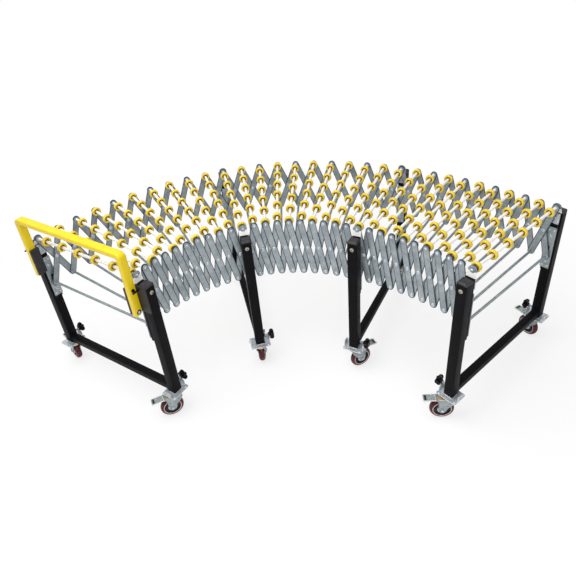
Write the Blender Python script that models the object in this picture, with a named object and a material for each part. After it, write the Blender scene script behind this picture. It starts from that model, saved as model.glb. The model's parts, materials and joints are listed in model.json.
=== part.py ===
"""Flexible skate wheel conveyor: a bed that stretches and bends, on four wheeled leg frames.

The bed is a row of axles between two scissor lattices. It stands in a curve here, with its
inner side towards -Y. Lengths are in metres, angles in radians, and +Z is up.
Each axle has its own station frame: X along the bed, Y outwards across it, Z up from the floor.
"""
import math

import bpy
import bmesh
from mathutils import Matrix, Vector

# Fits
CLEARANCE = 0.0003
OVERLAP = 0.0005
THROUGH = 0.002

# The bed and its curve
CELLS = 30
MIDDLE_AXLE = 15
FRAME_AXLES = (0, 10, 20, 30)
AXLE_HEIGHT = 0.890
GAUGE = 0.700
INNER_PITCH = 0.059
TIGHT_TURN = math.radians(4.42)
END_TURN = math.radians(1.55)
EASING_START_CELL = 13

# Scissor links, their middle pins and the bottom cross rods
LINK_LENGTH = 0.302
LINK_WIDTH = 0.036
LINK_THICKNESS = 0.004
LINK_END = 0.015
WASHER_GAP = 0.002
PIN_RADIUS = 0.006
PIN_SIDES = 5
ROD_RADIUS = 0.006
ROD_SIDES = 6
SLOTTED_ROD_REACH = 0.003

# Top axles with their spacers and skate wheels
SPACER_RADIUS = 0.007
SPACER_END_GAP = 0.0008
SKATE_WHEEL_RADIUS = 0.024
SKATE_WHEEL_WIDTH = 0.017
SKATE_WHEEL_SPACING = 0.123
SKATE_WHEELS = 6
END_WHEEL_INSET = 0.020
ROW_SIDES = 7
STUB_RADIUS = 0.005
STUB_SIDES = 8
STUB_HOLE_GAP = 0.001
NUT_RADIUS = 0.012
NUT_HEIGHT = 0.008

# Leg frames
LEG_TUBE = 0.050
LEG_WALL = 0.0025
LEG_TOP_DROP = 0.032
LEG_BOTTOM_HEIGHT = 0.166
LEG_CAP_HEIGHT = 0.012
LEG_CAP_BEVEL = 0.005
CROSS_BAR = 0.040
CROSS_BAR_WALL = 0.0025
PLATE_GAP = 0.0035
PLATE_THICKNESS = 0.004
EAR_WIDTH = 0.050
EAR_CORNER = 0.014
EAR_RISE = 0.020
EAR_BOTTOM_DROP = 0.095
BRACKET_WIDTH = 0.046
BRACKET_TOP_DROP = 0.118
BRACKET_BOTTOM_DROP = 0.367
SLOT_WIDTH = 0.015
SLOT_LENGTH = 0.080
SLOT_DEPTH = 0.010
RAIL_WIDTH = 0.040
RAIL_THICKNESS = 0.020
RAIL_BOTTOM_DROP = 0.383
LEG_BOLT_RADIUS = 0.009
LEG_BOLT_HEAD = 0.005
LEG_BOLT_DROP = 0.044
LEG_BOLT_SIDES = 8

# Star knobs
KNOB_RISE = 0.037
KNOB_STEM_RADIUS = 0.007
KNOB_STEM_LENGTH = 0.033
KNOB_RADIUS = 0.030
KNOB_CHAMFER = 0.005
KNOB_THICKNESS = 0.026
KNOB_SIDES = 8

# Height posts and caster plates
POST_GAP = 0.0005
POST_WALL = 0.002
POST_LENGTH = 0.350
CASTER_HEIGHT = 0.160
CASTER_PLATE_LENGTH = 0.110
CASTER_PLATE_WIDTH = 0.090
CASTER_PLATE_THICKNESS = 0.005
CASTER_TAB_THICKNESS = 0.004
CASTER_TAB_WIDTH = 0.040
CASTER_TAB_HEIGHT = 0.029

# Swivel forks and brake pedals
RACE_RADIUS = 0.029
RACE_HEIGHT = 0.016
RACE_SIDES = 12
CROWN_THICKNESS = 0.008
CROWN_LENGTH = 0.052
FORK_PLATE = 0.004
FORK_GAP = 0.003
FORK_TOP_BACK = 0.060
FORK_TOP_DEPTH = 0.020
FORK_TAIL = 0.017
FORK_TAIL_CORNER = 0.006
PEDAL_WIDTH = 0.046
PEDAL_REACH = 0.134
PEDAL_THICKNESS = 0.006
PEDAL_TIP_HEIGHT = 0.128
PEDAL_ROOT_REACH = 0.018

# Caster wheels
CASTER_TRAIL = 0.036
CASTER_WHEEL_RADIUS = 0.0625
CASTER_WHEEL_WIDTH = 0.034
CASTER_TREAD_CHAMFER = 0.005
CASTER_WHEEL_SIDES = 16
CASTER_BORE_RADIUS = 0.0059
CASTER_AXLE_RADIUS = 0.0055
CASTER_AXLE_SIDES = 8
CASTER_AXLE_HEAD = 0.004

# Which way each caster trails at rest, in its station frame, in degrees from +X
CASTER_HEADINGS = {
    ("near", 1): 145, ("near", 2): 76, ("near", 3): 54, ("near", 4): -134,
    ("far", 1): 75, ("far", 2): 60, ("far", 3): 120, ("far", 4): 168,
}

# The pull handle and its two mounts on the first leg frame
HANDLE_WIDTH = 0.040
HANDLE_THICKNESS = 0.025
HANDLE_ACROSS = 0.012
HANDLE_WEB_GAP = 0.001
HANDLE_TOP_RISE = 0.140
HANDLE_BEND = 0.014
HANDLE_BEND_STEPS = 3
HANDLE_PIVOT_DROP = 0.173
HANDLE_EYE_RADIUS = 0.0195
HANDLE_EYE_SIDES = 12
MOUNT_WEB = 0.006
MOUNT_LUG = 0.012
MOUNT_TOP_DROP = 0.034
MOUNT_BOTTOM_DROP = 0.184
MOUNT_GAP = 0.0005
PIVOT_RADIUS = 0.006
PIVOT_HOLE_RADIUS = 0.0072
PIVOT_HEAD_RADIUS = 0.010
PIVOT_HEAD = 0.006
PIVOT_SIDES = 8
LOCK_PIN_RISE = 0.124
LOCK_PIN_RADIUS = 0.004
LOCK_PIN_REACH = 0.020
LOCK_BAR_RADIUS = 0.0045
LOCK_BAR_LENGTH = 0.036

# Sizes worked out from the ones above
LAYER_OFFSET = (LINK_THICKNESS + WASHER_GAP) / 2
LATTICE_HALF = LAYER_OFFSET + LINK_THICKNESS / 2
ROW_HALF = GAUGE / 2 - LATTICE_HALF - SPACER_END_GAP
PLATE_INNER = GAUGE / 2 + LATTICE_HALF + PLATE_GAP
RAIL_INNER = PLATE_INNER + PLATE_THICKNESS
TUBE_INNER = RAIL_INNER + RAIL_THICKNESS
LEG_ACROSS = TUBE_INNER + LEG_TUBE / 2
LEG_TOP_HEIGHT = AXLE_HEIGHT - LEG_TOP_DROP
BORE = LEG_TUBE - 2 * LEG_WALL
POST = BORE - 2 * POST_GAP
CROWN_TOP = CASTER_HEIGHT - CASTER_PLATE_THICKNESS - CLEARANCE - RACE_HEIGHT
CROWN_BOTTOM = CROWN_TOP - CROWN_THICKNESS
FORK_INNER = CASTER_WHEEL_WIDTH / 2 + FORK_GAP
CASTER_AXLE_HEIGHT = CASTER_WHEEL_RADIUS * math.cos(math.pi / CASTER_WHEEL_SIDES)
SLOT_BOTTOM = AXLE_HEIGHT - LINK_LENGTH - ROD_RADIUS
HANDLE_Y = GAUGE / 2 + HANDLE_ACROSS
HANDLE_SETBACK = LEG_TUBE / 2 + MOUNT_WEB + HANDLE_WEB_GAP + HANDLE_WIDTH / 2
PIVOT_HEIGHT = AXLE_HEIGHT - HANDLE_PIVOT_DROP
LUG_OUTER = HANDLE_Y - HANDLE_THICKNESS / 2 - 2 * MOUNT_GAP
SIDES = (("near", -1), ("far", 1))

COLOURS = {
    "wheel_yellow": ((0.86, 0.62, 0.03), 0.35, 0.0),
    "galvanised": ((0.30, 0.34, 0.36), 0.42, 0.9),
    "black_powder_coat": ((0.012, 0.012, 0.014), 0.45, 0.0),
    "handle_yellow": ((0.92, 0.72, 0.02), 0.35, 0.0),
    "zinc": ((0.60, 0.62, 0.64), 0.35, 0.9),
    "tread_red": ((0.16, 0.012, 0.025), 0.45, 0.0),
}


def turn_of_cell(cell):
    """How far the bed turns in one cell: tight at first, easing towards the last axle."""
    run = max(0.0, (cell - EASING_START_CELL) / (CELLS - 1 - EASING_START_CELL))
    return TIGHT_TURN + (END_TURN - TIGHT_TURN) * run * run * (3 - 2 * run)


def turning_centre(turn):
    """Where a cell's two stations turn about each other, in either one's frame."""
    radius = INNER_PITCH / (2 * math.sin(turn / 2)) + GAUGE / 2
    return Matrix.Translation((0, -radius, 0))


def step_along(turn):
    centre = turning_centre(turn)
    return centre @ Matrix.Rotation(-turn, 4, "Z") @ centre.inverted()


def lay_out_stations():
    stations = {MIDDLE_AXLE: Matrix.Identity(4)}
    for axle in range(MIDDLE_AXLE + 1, CELLS + 1):
        stations[axle] = stations[axle - 1] @ step_along(turn_of_cell(axle - 1))
    for axle in range(MIDDLE_AXLE - 1, -1, -1):
        stations[axle] = stations[axle + 1] @ step_along(turn_of_cell(axle)).inverted()
    return stations


STATIONS = lay_out_stations()


def side_point(axle, side, height):
    """A point on one lattice's middle plane, at an axle's station."""
    return STATIONS[axle] @ Vector((0, side * GAUGE / 2, height))


def bottom_height(axle, side):
    """Where the bottom pivot hangs, from the mean pitch of the cells beside it."""
    cells = [cell for cell in (axle - 1, axle) if 0 <= cell < CELLS]
    pitches = [(side_point(cell + 1, side, 0) - side_point(cell, side, 0)).length
               for cell in cells]
    pitch = sum(pitches) / len(pitches)
    return AXLE_HEIGHT - math.sqrt(LINK_LENGTH ** 2 - pitch ** 2)


def add_skin(bm, rings, ring_closed=False):
    """Join equal rings of points into one closed solid, capped unless it closes on itself."""
    loops = [[bm.verts.new(point) for point in ring] for ring in rings]
    pairs = list(zip(loops, loops[1:]))
    if ring_closed:
        pairs.append((loops[-1], loops[0]))
    else:
        bm.faces.new(loops[0])
        bm.faces.new(loops[-1])
    for first, second in pairs:
        for index in range(len(first)):
            following = (index + 1) % len(first)
            bm.faces.new((first[index], first[following], second[following], second[index]))


def add_box(bm, low, high, matrix=Matrix.Identity(4)):
    """A box between two opposite corners, given in any order."""
    corners = ((low[0], low[1]), (high[0], low[1]), (high[0], high[1]), (low[0], high[1]))
    rings = [[matrix @ Vector((x, y, z)) for x, y in corners] for z in (low[2], high[2])]
    add_skin(bm, rings)


def add_slab(bm, outline, start_y, end_y, matrix=Matrix.Identity(4)):
    """An outline in X and Z, given some thickness in Y."""
    rings = [[matrix @ Vector((x, y, z)) for x, z in outline] for y in (start_y, end_y)]
    add_skin(bm, rings)


def add_turned(bm, outline, sides, matrix, ring_closed=False):
    """A turned solid about Z from (radius, height) pairs, with a flat side facing +X."""
    angles = [math.tau * (corner + 0.5) / sides for corner in range(sides)]
    rings = []
    for radius, height in outline:
        rings.append([matrix @ Vector((radius * math.cos(angle), radius * math.sin(angle), height))
                      for angle in angles])
    add_skin(bm, rings, ring_closed)


def aim(start, end):
    """The frame whose Z runs from one point towards another."""
    start = Vector(start)
    run = Vector(end) - start
    return Matrix.Translation(start) @ run.to_track_quat("Z", "Y").to_matrix().to_4x4()


def add_bar(bm, start, end, radius, sides, matrix=Matrix.Identity(4)):
    length = (Vector(end) - Vector(start)).length
    add_turned(bm, [(radius, 0), (radius, length)], sides, matrix @ aim(start, end))


def mesh_object(name, bm, collection, material=None):
    bmesh.ops.recalc_face_normals(bm, faces=bm.faces)
    mesh = bpy.data.meshes.new(name)
    bm.to_mesh(mesh)
    bm.free()
    if material:
        mesh.materials.append(material)
    made = bpy.data.objects.new(name, mesh)
    collection.objects.link(made)
    return made


def new_collection(name):
    collection = bpy.data.collections.new(name)
    bpy.context.scene.collection.children.link(collection)
    return collection


def make_material(name):
    colour, roughness, metallic = COLOURS[name]
    material = bpy.data.materials.new(name)
    material.use_nodes = True
    shader = material.node_tree.nodes["Principled BSDF"]
    shader.inputs["Base Color"].default_value = (*colour, 1.0)
    shader.inputs["Roughness"].default_value = roughness
    shader.inputs["Metallic"].default_value = metallic
    material.diffuse_color = (*colour, 1.0)
    return material


class Builder:
    """Places parts in station frames, and keeps their boolean tools apart."""

    def __init__(self):
        self.parts = new_collection("flexible_conveyor")
        self.tools = new_collection("tools")
        self.materials = {name: make_material(name) for name in COLOURS}
        self.origin = bpy.data.objects.new("conveyor_origin", None)
        self.parts.objects.link(self.origin)
        self.places = {self.origin: Matrix.Identity(4)}

    def attach(self, made, parent, place):
        """Put an object at a place in the unshifted conveyor, as the parent's child."""
        made.parent = parent
        made.matrix_parent_inverse = self.places[parent].inverted()
        made.matrix_basis = place
        self.places[made] = place
        return made

    def joint(self, name, parent, place):
        made = bpy.data.objects.new(name, None)
        made.empty_display_size = LEG_TUBE
        self.parts.objects.link(made)
        return self.attach(made, parent, place)

    def part(self, name, bm, material, parent, place):
        made = mesh_object(name, bm, self.parts, self.materials[material])
        return self.attach(made, parent, place)

    def use_tool(self, target, name, bm, operation):
        """Add or cut one tool, whose shapes are given in the target's own frame."""
        tool = mesh_object(f"{target.name}_{name}", bm, self.tools)
        self.attach(tool, self.origin, self.places[target])
        tool.hide_render = True
        tool.display_type = "WIRE"
        change = target.modifiers.new(name, "BOOLEAN")
        change.operation = operation
        change.solver = "EXACT"
        change.object = tool


def make_station_joints(build):
    """A chain of joints out from the middle axle, each at its cell's turning centre."""
    carriers = {MIDDLE_AXLE: build.origin}
    for axle in range(MIDDLE_AXLE + 1, CELLS + 1):
        place = STATIONS[axle] @ turning_centre(turn_of_cell(axle - 1))
        carriers[axle] = build.joint(f"stretch_{axle:02d}", carriers[axle - 1], place)
    for axle in range(MIDDLE_AXLE - 1, -1, -1):
        place = STATIONS[axle] @ turning_centre(turn_of_cell(axle))
        carriers[axle] = build.joint(f"stretch_{axle:02d}", carriers[axle + 1], place)
    return carriers


def add_row(bm, axle):
    """An axle with spacers and wheels, which start at the near end on even axles."""
    first_end = -1 if axle % 2 == 0 else 1
    end_wheel = GAUGE / 2 - END_WHEEL_INSET
    middles = sorted(first_end * (end_wheel - wheel * SKATE_WHEEL_SPACING)
                     for wheel in range(SKATE_WHEELS))
    outline = [(SPACER_RADIUS, -ROW_HALF)]
    for middle in middles:
        low = middle - SKATE_WHEEL_WIDTH / 2
        high = middle + SKATE_WHEEL_WIDTH / 2
        outline += [(SPACER_RADIUS, low), (SKATE_WHEEL_RADIUS, low),
                    (SKATE_WHEEL_RADIUS, high), (SPACER_RADIUS, high)]
    outline.append((SPACER_RADIUS, ROW_HALF))
    across = Matrix.Translation((0, 0, AXLE_HEIGHT)) @ Matrix.Rotation(-math.pi / 2, 4, "X")
    top_flat = Matrix.Rotation(-math.pi / 2, 4, "Z")
    add_turned(bm, outline, ROW_SIDES, across @ top_flat)


def make_wheel_rows(build, carriers):
    for axle in range(1, CELLS + 1):
        bm = bmesh.new()
        add_row(bm, axle)
        build.part(f"wheel_row_{axle:02d}", bm, "wheel_yellow", carriers[axle], STATIONS[axle])


def link_frame(start, end, side):
    """A link's frame: X along it, Z outwards from the bed, origin halfway along it."""
    run = (end - start).normalized()
    level = Vector((run.x, run.y, 0)).normalized()
    outwards = side * Vector((-level.y, level.x, 0))
    frame = Matrix((run, outwards.cross(run), outwards)).transposed().to_4x4()
    return Matrix.Translation((start + end) / 2) @ frame


def add_link(bm, start, end, side, layer):
    """A flat link between two pivots: layer 1 is the outer one and -1 the inner one."""
    half_length = (end - start).length / 2 + LINK_END
    low = (-half_length, -LINK_WIDTH / 2, layer * LAYER_OFFSET - LINK_THICKNESS / 2)
    high = (half_length, LINK_WIDTH / 2, layer * LAYER_OFFSET + LINK_THICKNESS / 2)
    add_box(bm, low, high, link_frame(start, end, side))


def add_lattice_side(links, pins, side):
    """One side's links, with a pin where the two links of each cell cross."""
    tops = [side_point(axle, side, AXLE_HEIGHT) for axle in range(CELLS + 1)]
    feet = [side_point(axle, side, bottom_height(axle, side)) for axle in range(CELLS + 1)]
    for cell in range(CELLS):
        add_link(links, tops[cell], feet[cell + 1], side, 1)
        add_link(links, feet[cell], tops[cell + 1], side, -1)
        drop = AXLE_HEIGHT - feet[cell].z
        next_drop = AXLE_HEIGHT - feet[cell + 1].z
        crossing = tops[cell].lerp(feet[cell + 1], drop / (drop + next_drop))
        frame = link_frame(tops[cell], feet[cell + 1], side).to_3x3().to_4x4()
        outline = [(PIN_RADIUS, -LAYER_OFFSET), (PIN_RADIUS, LAYER_OFFSET)]
        add_turned(pins, outline, PIN_SIDES, Matrix.Translation(crossing) @ frame)


def make_lattice(build, carriers):
    """Both lattices and the bottom rods, as they stand at rest."""
    links = bmesh.new()
    pins = bmesh.new()
    for _, side in SIDES:
        add_lattice_side(links, pins, side)
    for axle in range(CELLS + 1):
        reach = GAUGE / 2 + LAYER_OFFSET
        if axle in FRAME_AXLES:
            reach = RAIL_INNER + SLOTTED_ROD_REACH
        start = (0, -reach, bottom_height(axle, -1))
        end = (0, reach, bottom_height(axle, 1))
        add_bar(pins, start, end, ROD_RADIUS, ROD_SIDES, STATIONS[axle])
    lattice = build.part("scissor_lattice", links, "galvanised", carriers[MIDDLE_AXLE],
                         STATIONS[MIDDLE_AXLE])
    build.use_tool(lattice, "pins_and_rods", pins, "UNION")

    holes = bmesh.new()
    for axle in FRAME_AXLES:
        for _, side in SIDES:
            start = (0, side * (GAUGE / 2 - LATTICE_HALF - THROUGH), AXLE_HEIGHT)
            end = (0, side * (GAUGE / 2 + LATTICE_HALF + THROUGH), AXLE_HEIGHT)
            add_bar(holes, start, end, STUB_RADIUS + STUB_HOLE_GAP, STUB_SIDES, STATIONS[axle])
    build.use_tool(lattice, "axle_holes", holes, "DIFFERENCE")


def add_leg_solids(bm):
    """The two leg tubes, solid, with bevelled caps."""
    rises = ((0, LEG_BOTTOM_HEIGHT), (0, LEG_TOP_HEIGHT - LEG_CAP_BEVEL),
             (LEG_CAP_BEVEL, LEG_TOP_HEIGHT))
    for _, side in SIDES:
        rings = []
        for inset, height in rises:
            half = LEG_TUBE / 2 - inset
            corners = ((-half, -half), (half, -half), (half, half), (-half, half))
            rings.append([Vector((x, side * LEG_ACROSS + y, height)) for x, y in corners])
        add_skin(bm, rings)


def add_side_boxes(bm, half_width, inner, outer, bottom, top):
    """The same box on both sides, between two distances from the middle of the bed."""
    for _, side in SIDES:
        add_box(bm, (-half_width, side * inner, bottom), (half_width, side * outer, top))


def add_side_turned(bm, outline, sides, x, height):
    """The same turned shape on both sides, given by radius and distance from the middle."""
    for _, side in SIDES:
        outwards = Matrix.Rotation(-side * math.pi / 2, 4, "X")
        add_turned(bm, outline, sides, Matrix.Translation((x, 0, height)) @ outwards)


def make_leg_frame(build, carriers, number, axle):
    """Two hollow legs, their cross bar, and the rails and plates that hold the bed."""
    legs = bmesh.new()
    add_leg_solids(legs)
    frame = build.part(f"leg_frame_{number}", legs, "black_powder_coat", carriers[axle],
                       STATIONS[axle])
    add_cross_bar(build, frame)

    rails = bmesh.new()
    add_side_boxes(rails, RAIL_WIDTH / 2, RAIL_INNER, TUBE_INNER + OVERLAP,
                   AXLE_HEIGHT - RAIL_BOTTOM_DROP, LEG_TOP_HEIGHT - LEG_CAP_BEVEL)
    build.use_tool(frame, "guide_rails", rails, "UNION")
    add_plates(build, frame)

    if number == 1:
        row = bmesh.new()
        add_row(row, axle)
        build.use_tool(frame, "wheel_row", row, "UNION")

    fittings = bmesh.new()
    stub_start = ROW_HALF - THROUGH if number == 1 else ROW_HALF + CLEARANCE
    nut_start = PLATE_INNER + PLATE_THICKNESS / 2
    stub_outline = [(STUB_RADIUS, stub_start), (STUB_RADIUS, nut_start), (NUT_RADIUS, nut_start),
                    (NUT_RADIUS, RAIL_INNER + NUT_HEIGHT)]
    add_side_turned(fittings, stub_outline, STUB_SIDES, 0, AXLE_HEIGHT)
    leg_outer = LEG_ACROSS + LEG_TUBE / 2
    bolt_outline = [(LEG_BOLT_RADIUS, leg_outer - OVERLAP),
                    (LEG_BOLT_RADIUS, leg_outer + LEG_BOLT_HEAD)]
    add_side_turned(fittings, bolt_outline, LEG_BOLT_SIDES, 0, LEG_TOP_HEIGHT - LEG_BOLT_DROP)
    add_knobs(fittings, -1 if number == len(FRAME_AXLES) else 1)
    build.use_tool(frame, "fittings", fittings, "UNION")

    if number == 1:
        add_handle_mounts(build, frame)


def add_cross_bar(build, frame):
    """The bar between the legs, hollow right into both leg bores."""
    bar = bmesh.new()
    bar_end = TUBE_INNER + OVERLAP
    bar_top = LEG_BOTTOM_HEIGHT + CROSS_BAR
    add_box(bar, (-CROSS_BAR / 2, -bar_end, LEG_BOTTOM_HEIGHT + OVERLAP),
            (CROSS_BAR / 2, bar_end, bar_top))
    build.use_tool(frame, "cross_bar", bar, "UNION")

    bores = bmesh.new()
    add_side_boxes(bores, BORE / 2, LEG_ACROSS - BORE / 2, LEG_ACROSS + BORE / 2,
                   LEG_BOTTOM_HEIGHT - THROUGH, LEG_TOP_HEIGHT - LEG_CAP_HEIGHT)
    build.use_tool(frame, "leg_bores", bores, "DIFFERENCE")

    bar_bore = bmesh.new()
    bore_end = TUBE_INNER + LEG_WALL + THROUGH
    half_bore = CROSS_BAR / 2 - CROSS_BAR_WALL
    add_box(bar_bore, (-half_bore, -bore_end, LEG_BOTTOM_HEIGHT + CROSS_BAR_WALL),
            (half_bore, bore_end, bar_top - CROSS_BAR_WALL))
    build.use_tool(frame, "bar_bore", bar_bore, "DIFFERENCE")


def add_plates(build, frame):
    """The ear plates that carry the axle, and the slotted brackets below them."""
    plates = bmesh.new()
    ear_top = AXLE_HEIGHT + EAR_RISE
    ear_bottom = AXLE_HEIGHT - EAR_BOTTOM_DROP
    half_ear = EAR_WIDTH / 2
    half_top = half_ear - EAR_CORNER
    ear_outline = [(-half_ear, ear_bottom), (half_ear, ear_bottom),
                   (half_ear, ear_top - EAR_CORNER), (half_top, ear_top),
                   (-half_top, ear_top), (-half_ear, ear_top - EAR_CORNER)]
    for _, side in SIDES:
        add_slab(plates, ear_outline, side * PLATE_INNER, side * (RAIL_INNER + OVERLAP))
    add_side_boxes(plates, BRACKET_WIDTH / 2, PLATE_INNER, RAIL_INNER + OVERLAP,
                   AXLE_HEIGHT - BRACKET_BOTTOM_DROP, AXLE_HEIGHT - BRACKET_TOP_DROP)
    build.use_tool(frame, "plates", plates, "UNION")

    slots = bmesh.new()
    add_side_boxes(slots, SLOT_WIDTH / 2, PLATE_INNER - THROUGH, PLATE_INNER + SLOT_DEPTH,
                   SLOT_BOTTOM, SLOT_BOTTOM + SLOT_LENGTH)
    build.use_tool(frame, "slots", slots, "DIFFERENCE")


def add_knobs(bm, along):
    """A star knob on each leg, on its side towards the given end of the bed."""
    knob_start = LEG_TUBE / 2 + KNOB_STEM_LENGTH
    knob_end = knob_start + KNOB_THICKNESS
    outline = [(KNOB_STEM_RADIUS, LEG_TUBE / 2 - OVERLAP), (KNOB_STEM_RADIUS, knob_start),
               (KNOB_RADIUS, knob_start), (KNOB_RADIUS, knob_end - KNOB_CHAMFER),
               (KNOB_RADIUS - KNOB_CHAMFER, knob_end)]
    sideways = Matrix.Rotation(along * math.pi / 2, 4, "Y")
    for _, side in SIDES:
        middle = Matrix.Translation((0, side * LEG_ACROSS, LEG_BOTTOM_HEIGHT + KNOB_RISE))
        add_turned(bm, outline, KNOB_SIDES, middle @ sideways)


def add_handle_mounts(build, frame):
    """A web on each leg's end face, a lug inboard of the handle's arm, and the pivot bolt."""
    web_root = OVERLAP - LEG_TUBE / 2
    web_face = -LEG_TUBE / 2 - MOUNT_WEB
    web_end = LEG_ACROSS + BORE / 2
    lug_end = -HANDLE_SETBACK - HANDLE_WIDTH / 2
    lug_inner = LUG_OUTER - MOUNT_LUG
    outline = [(web_root, lug_inner), (web_root, web_end), (web_face, web_end),
               (web_face, LUG_OUTER), (lug_end, LUG_OUTER), (lug_end, lug_inner)]
    heights = (AXLE_HEIGHT - MOUNT_BOTTOM_DROP, AXLE_HEIGHT - MOUNT_TOP_DROP)
    lugs = bmesh.new()
    for _, side in SIDES:
        add_skin(lugs, [[Vector((x, side * y, z)) for x, y in outline] for z in heights])
    build.use_tool(frame, "handle_lugs", lugs, "UNION")

    bolts = bmesh.new()
    head_start = HANDLE_Y + HANDLE_THICKNESS / 2 + 2 * MOUNT_GAP
    bolt_outline = [(PIVOT_RADIUS, LUG_OUTER - MOUNT_LUG / 2), (PIVOT_RADIUS, head_start),
                    (PIVOT_HEAD_RADIUS, head_start), (PIVOT_HEAD_RADIUS, head_start + PIVOT_HEAD)]
    add_side_turned(bolts, bolt_outline, PIVOT_SIDES, -HANDLE_SETBACK, PIVOT_HEIGHT)
    build.use_tool(frame, "pivot_bolts", bolts, "UNION")


def handle_path():
    """The handle's middle line from its pivots' height, with the outward normal at each point."""
    top = HANDLE_PIVOT_DROP + HANDLE_TOP_RISE
    path = [(Vector((0, -HANDLE_Y, 0)), Vector((0, -1, 0)))]
    for _, side in SIDES:
        centre = Vector((0, side * (HANDLE_Y - HANDLE_BEND), top - HANDLE_BEND))
        steps = range(HANDLE_BEND_STEPS + 1)
        for step in steps if side < 0 else reversed(steps):
            angle = math.pi / 2 * step / HANDLE_BEND_STEPS
            normal = Vector((0, side * math.cos(angle), math.sin(angle)))
            path.append((centre + HANDLE_BEND * normal, normal))
    path.append((Vector((0, HANDLE_Y, 0)), Vector((0, 1, 0))))
    return path


def make_handle(build, carriers):
    """The yellow loop, with an eye round each pivot bolt and a locking pin in each arm."""
    tube = bmesh.new()
    width = Vector((HANDLE_WIDTH / 2, 0, 0))
    rings = []
    for middle, normal in handle_path():
        depth = normal * HANDLE_THICKNESS / 2
        rings.append([middle - width - depth, middle + width - depth,
                      middle + width + depth, middle - width + depth])
    add_skin(tube, rings)
    place = STATIONS[0] @ Matrix.Translation((-HANDLE_SETBACK, 0, PIVOT_HEIGHT))
    handle = build.part("handle", tube, "handle_yellow", carriers[0], place)

    eyes = bmesh.new()
    holes = bmesh.new()
    pins = bmesh.new()
    bars = bmesh.new()
    half_eye = HANDLE_THICKNESS / 2 + MOUNT_GAP
    pin_end = HANDLE_Y + HANDLE_THICKNESS / 2 + LOCK_PIN_REACH
    add_side_turned(eyes, [(HANDLE_EYE_RADIUS, HANDLE_Y - half_eye),
                           (HANDLE_EYE_RADIUS, HANDLE_Y + half_eye)], HANDLE_EYE_SIDES, 0, 0)
    add_side_turned(holes, [(PIVOT_HOLE_RADIUS, HANDLE_Y - half_eye - THROUGH),
                            (PIVOT_HOLE_RADIUS, HANDLE_Y + half_eye + THROUGH)], PIVOT_SIDES, 0, 0)
    add_side_turned(pins, [(LOCK_PIN_RADIUS, HANDLE_Y), (LOCK_PIN_RADIUS, pin_end)],
                    PIVOT_SIDES, 0, LOCK_PIN_RISE)
    for _, side in SIDES:
        add_bar(bars, (-LOCK_BAR_LENGTH / 2, side * pin_end, LOCK_PIN_RISE),
                (LOCK_BAR_LENGTH / 2, side * pin_end, LOCK_PIN_RISE), LOCK_BAR_RADIUS, PIVOT_SIDES)
    build.use_tool(handle, "eyes", eyes, "UNION")
    build.use_tool(handle, "pivot_holes", holes, "DIFFERENCE")
    build.use_tool(handle, "lock_pins", pins, "UNION")
    build.use_tool(handle, "lock_bars", bars, "UNION")


def make_post(build, parent, name, place):
    """A hollow post that slides in the leg, on a caster plate with two upturned tabs."""
    plate = bmesh.new()
    plate_bottom = CASTER_HEIGHT - CASTER_PLATE_THICKNESS
    add_box(plate, (-CASTER_PLATE_LENGTH / 2, -CASTER_PLATE_WIDTH / 2, plate_bottom),
            (CASTER_PLATE_LENGTH / 2, CASTER_PLATE_WIDTH / 2, CASTER_HEIGHT))
    post = build.part(f"leg_post_{name}", plate, "zinc", parent, place)

    uprights = bmesh.new()
    add_box(uprights, (-POST / 2, -POST / 2, CASTER_HEIGHT - OVERLAP),
            (POST / 2, POST / 2, CASTER_HEIGHT + POST_LENGTH))
    for end in (-1, 1):
        tab_outer = end * (CASTER_PLATE_LENGTH / 2 - OVERLAP)
        tab_inner = tab_outer - end * CASTER_TAB_THICKNESS
        add_box(uprights, (tab_inner, -CASTER_TAB_WIDTH / 2, CASTER_HEIGHT - OVERLAP),
                (tab_outer, CASTER_TAB_WIDTH / 2, CASTER_HEIGHT + CASTER_TAB_HEIGHT))
    build.use_tool(post, "uprights", uprights, "UNION")

    bore = bmesh.new()
    half = POST / 2 - POST_WALL
    add_box(bore, (-half, -half, CASTER_HEIGHT + THROUGH),
            (half, half, CASTER_HEIGHT + POST_LENGTH + THROUGH))
    build.use_tool(post, "bore", bore, "DIFFERENCE")
    return post


def fork_outline():
    """One side plate in X and Z: wide at the crown, narrow and rounded off at the axle."""
    top = CROWN_TOP - 2 * OVERLAP
    shoulder = top - FORK_TOP_DEPTH
    tail = CASTER_AXLE_HEIGHT - FORK_TAIL
    front = CASTER_TRAIL - FORK_TAIL
    back = CASTER_TRAIL + FORK_TAIL
    return [(-CROWN_LENGTH / 2, top), (-CROWN_LENGTH / 2, shoulder),
            (front, tail + FORK_TAIL_CORNER), (front + FORK_TAIL_CORNER, tail),
            (back - FORK_TAIL_CORNER, tail), (back, tail + FORK_TAIL_CORNER),
            (FORK_TOP_BACK, shoulder), (FORK_TOP_BACK, top)]


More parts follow.
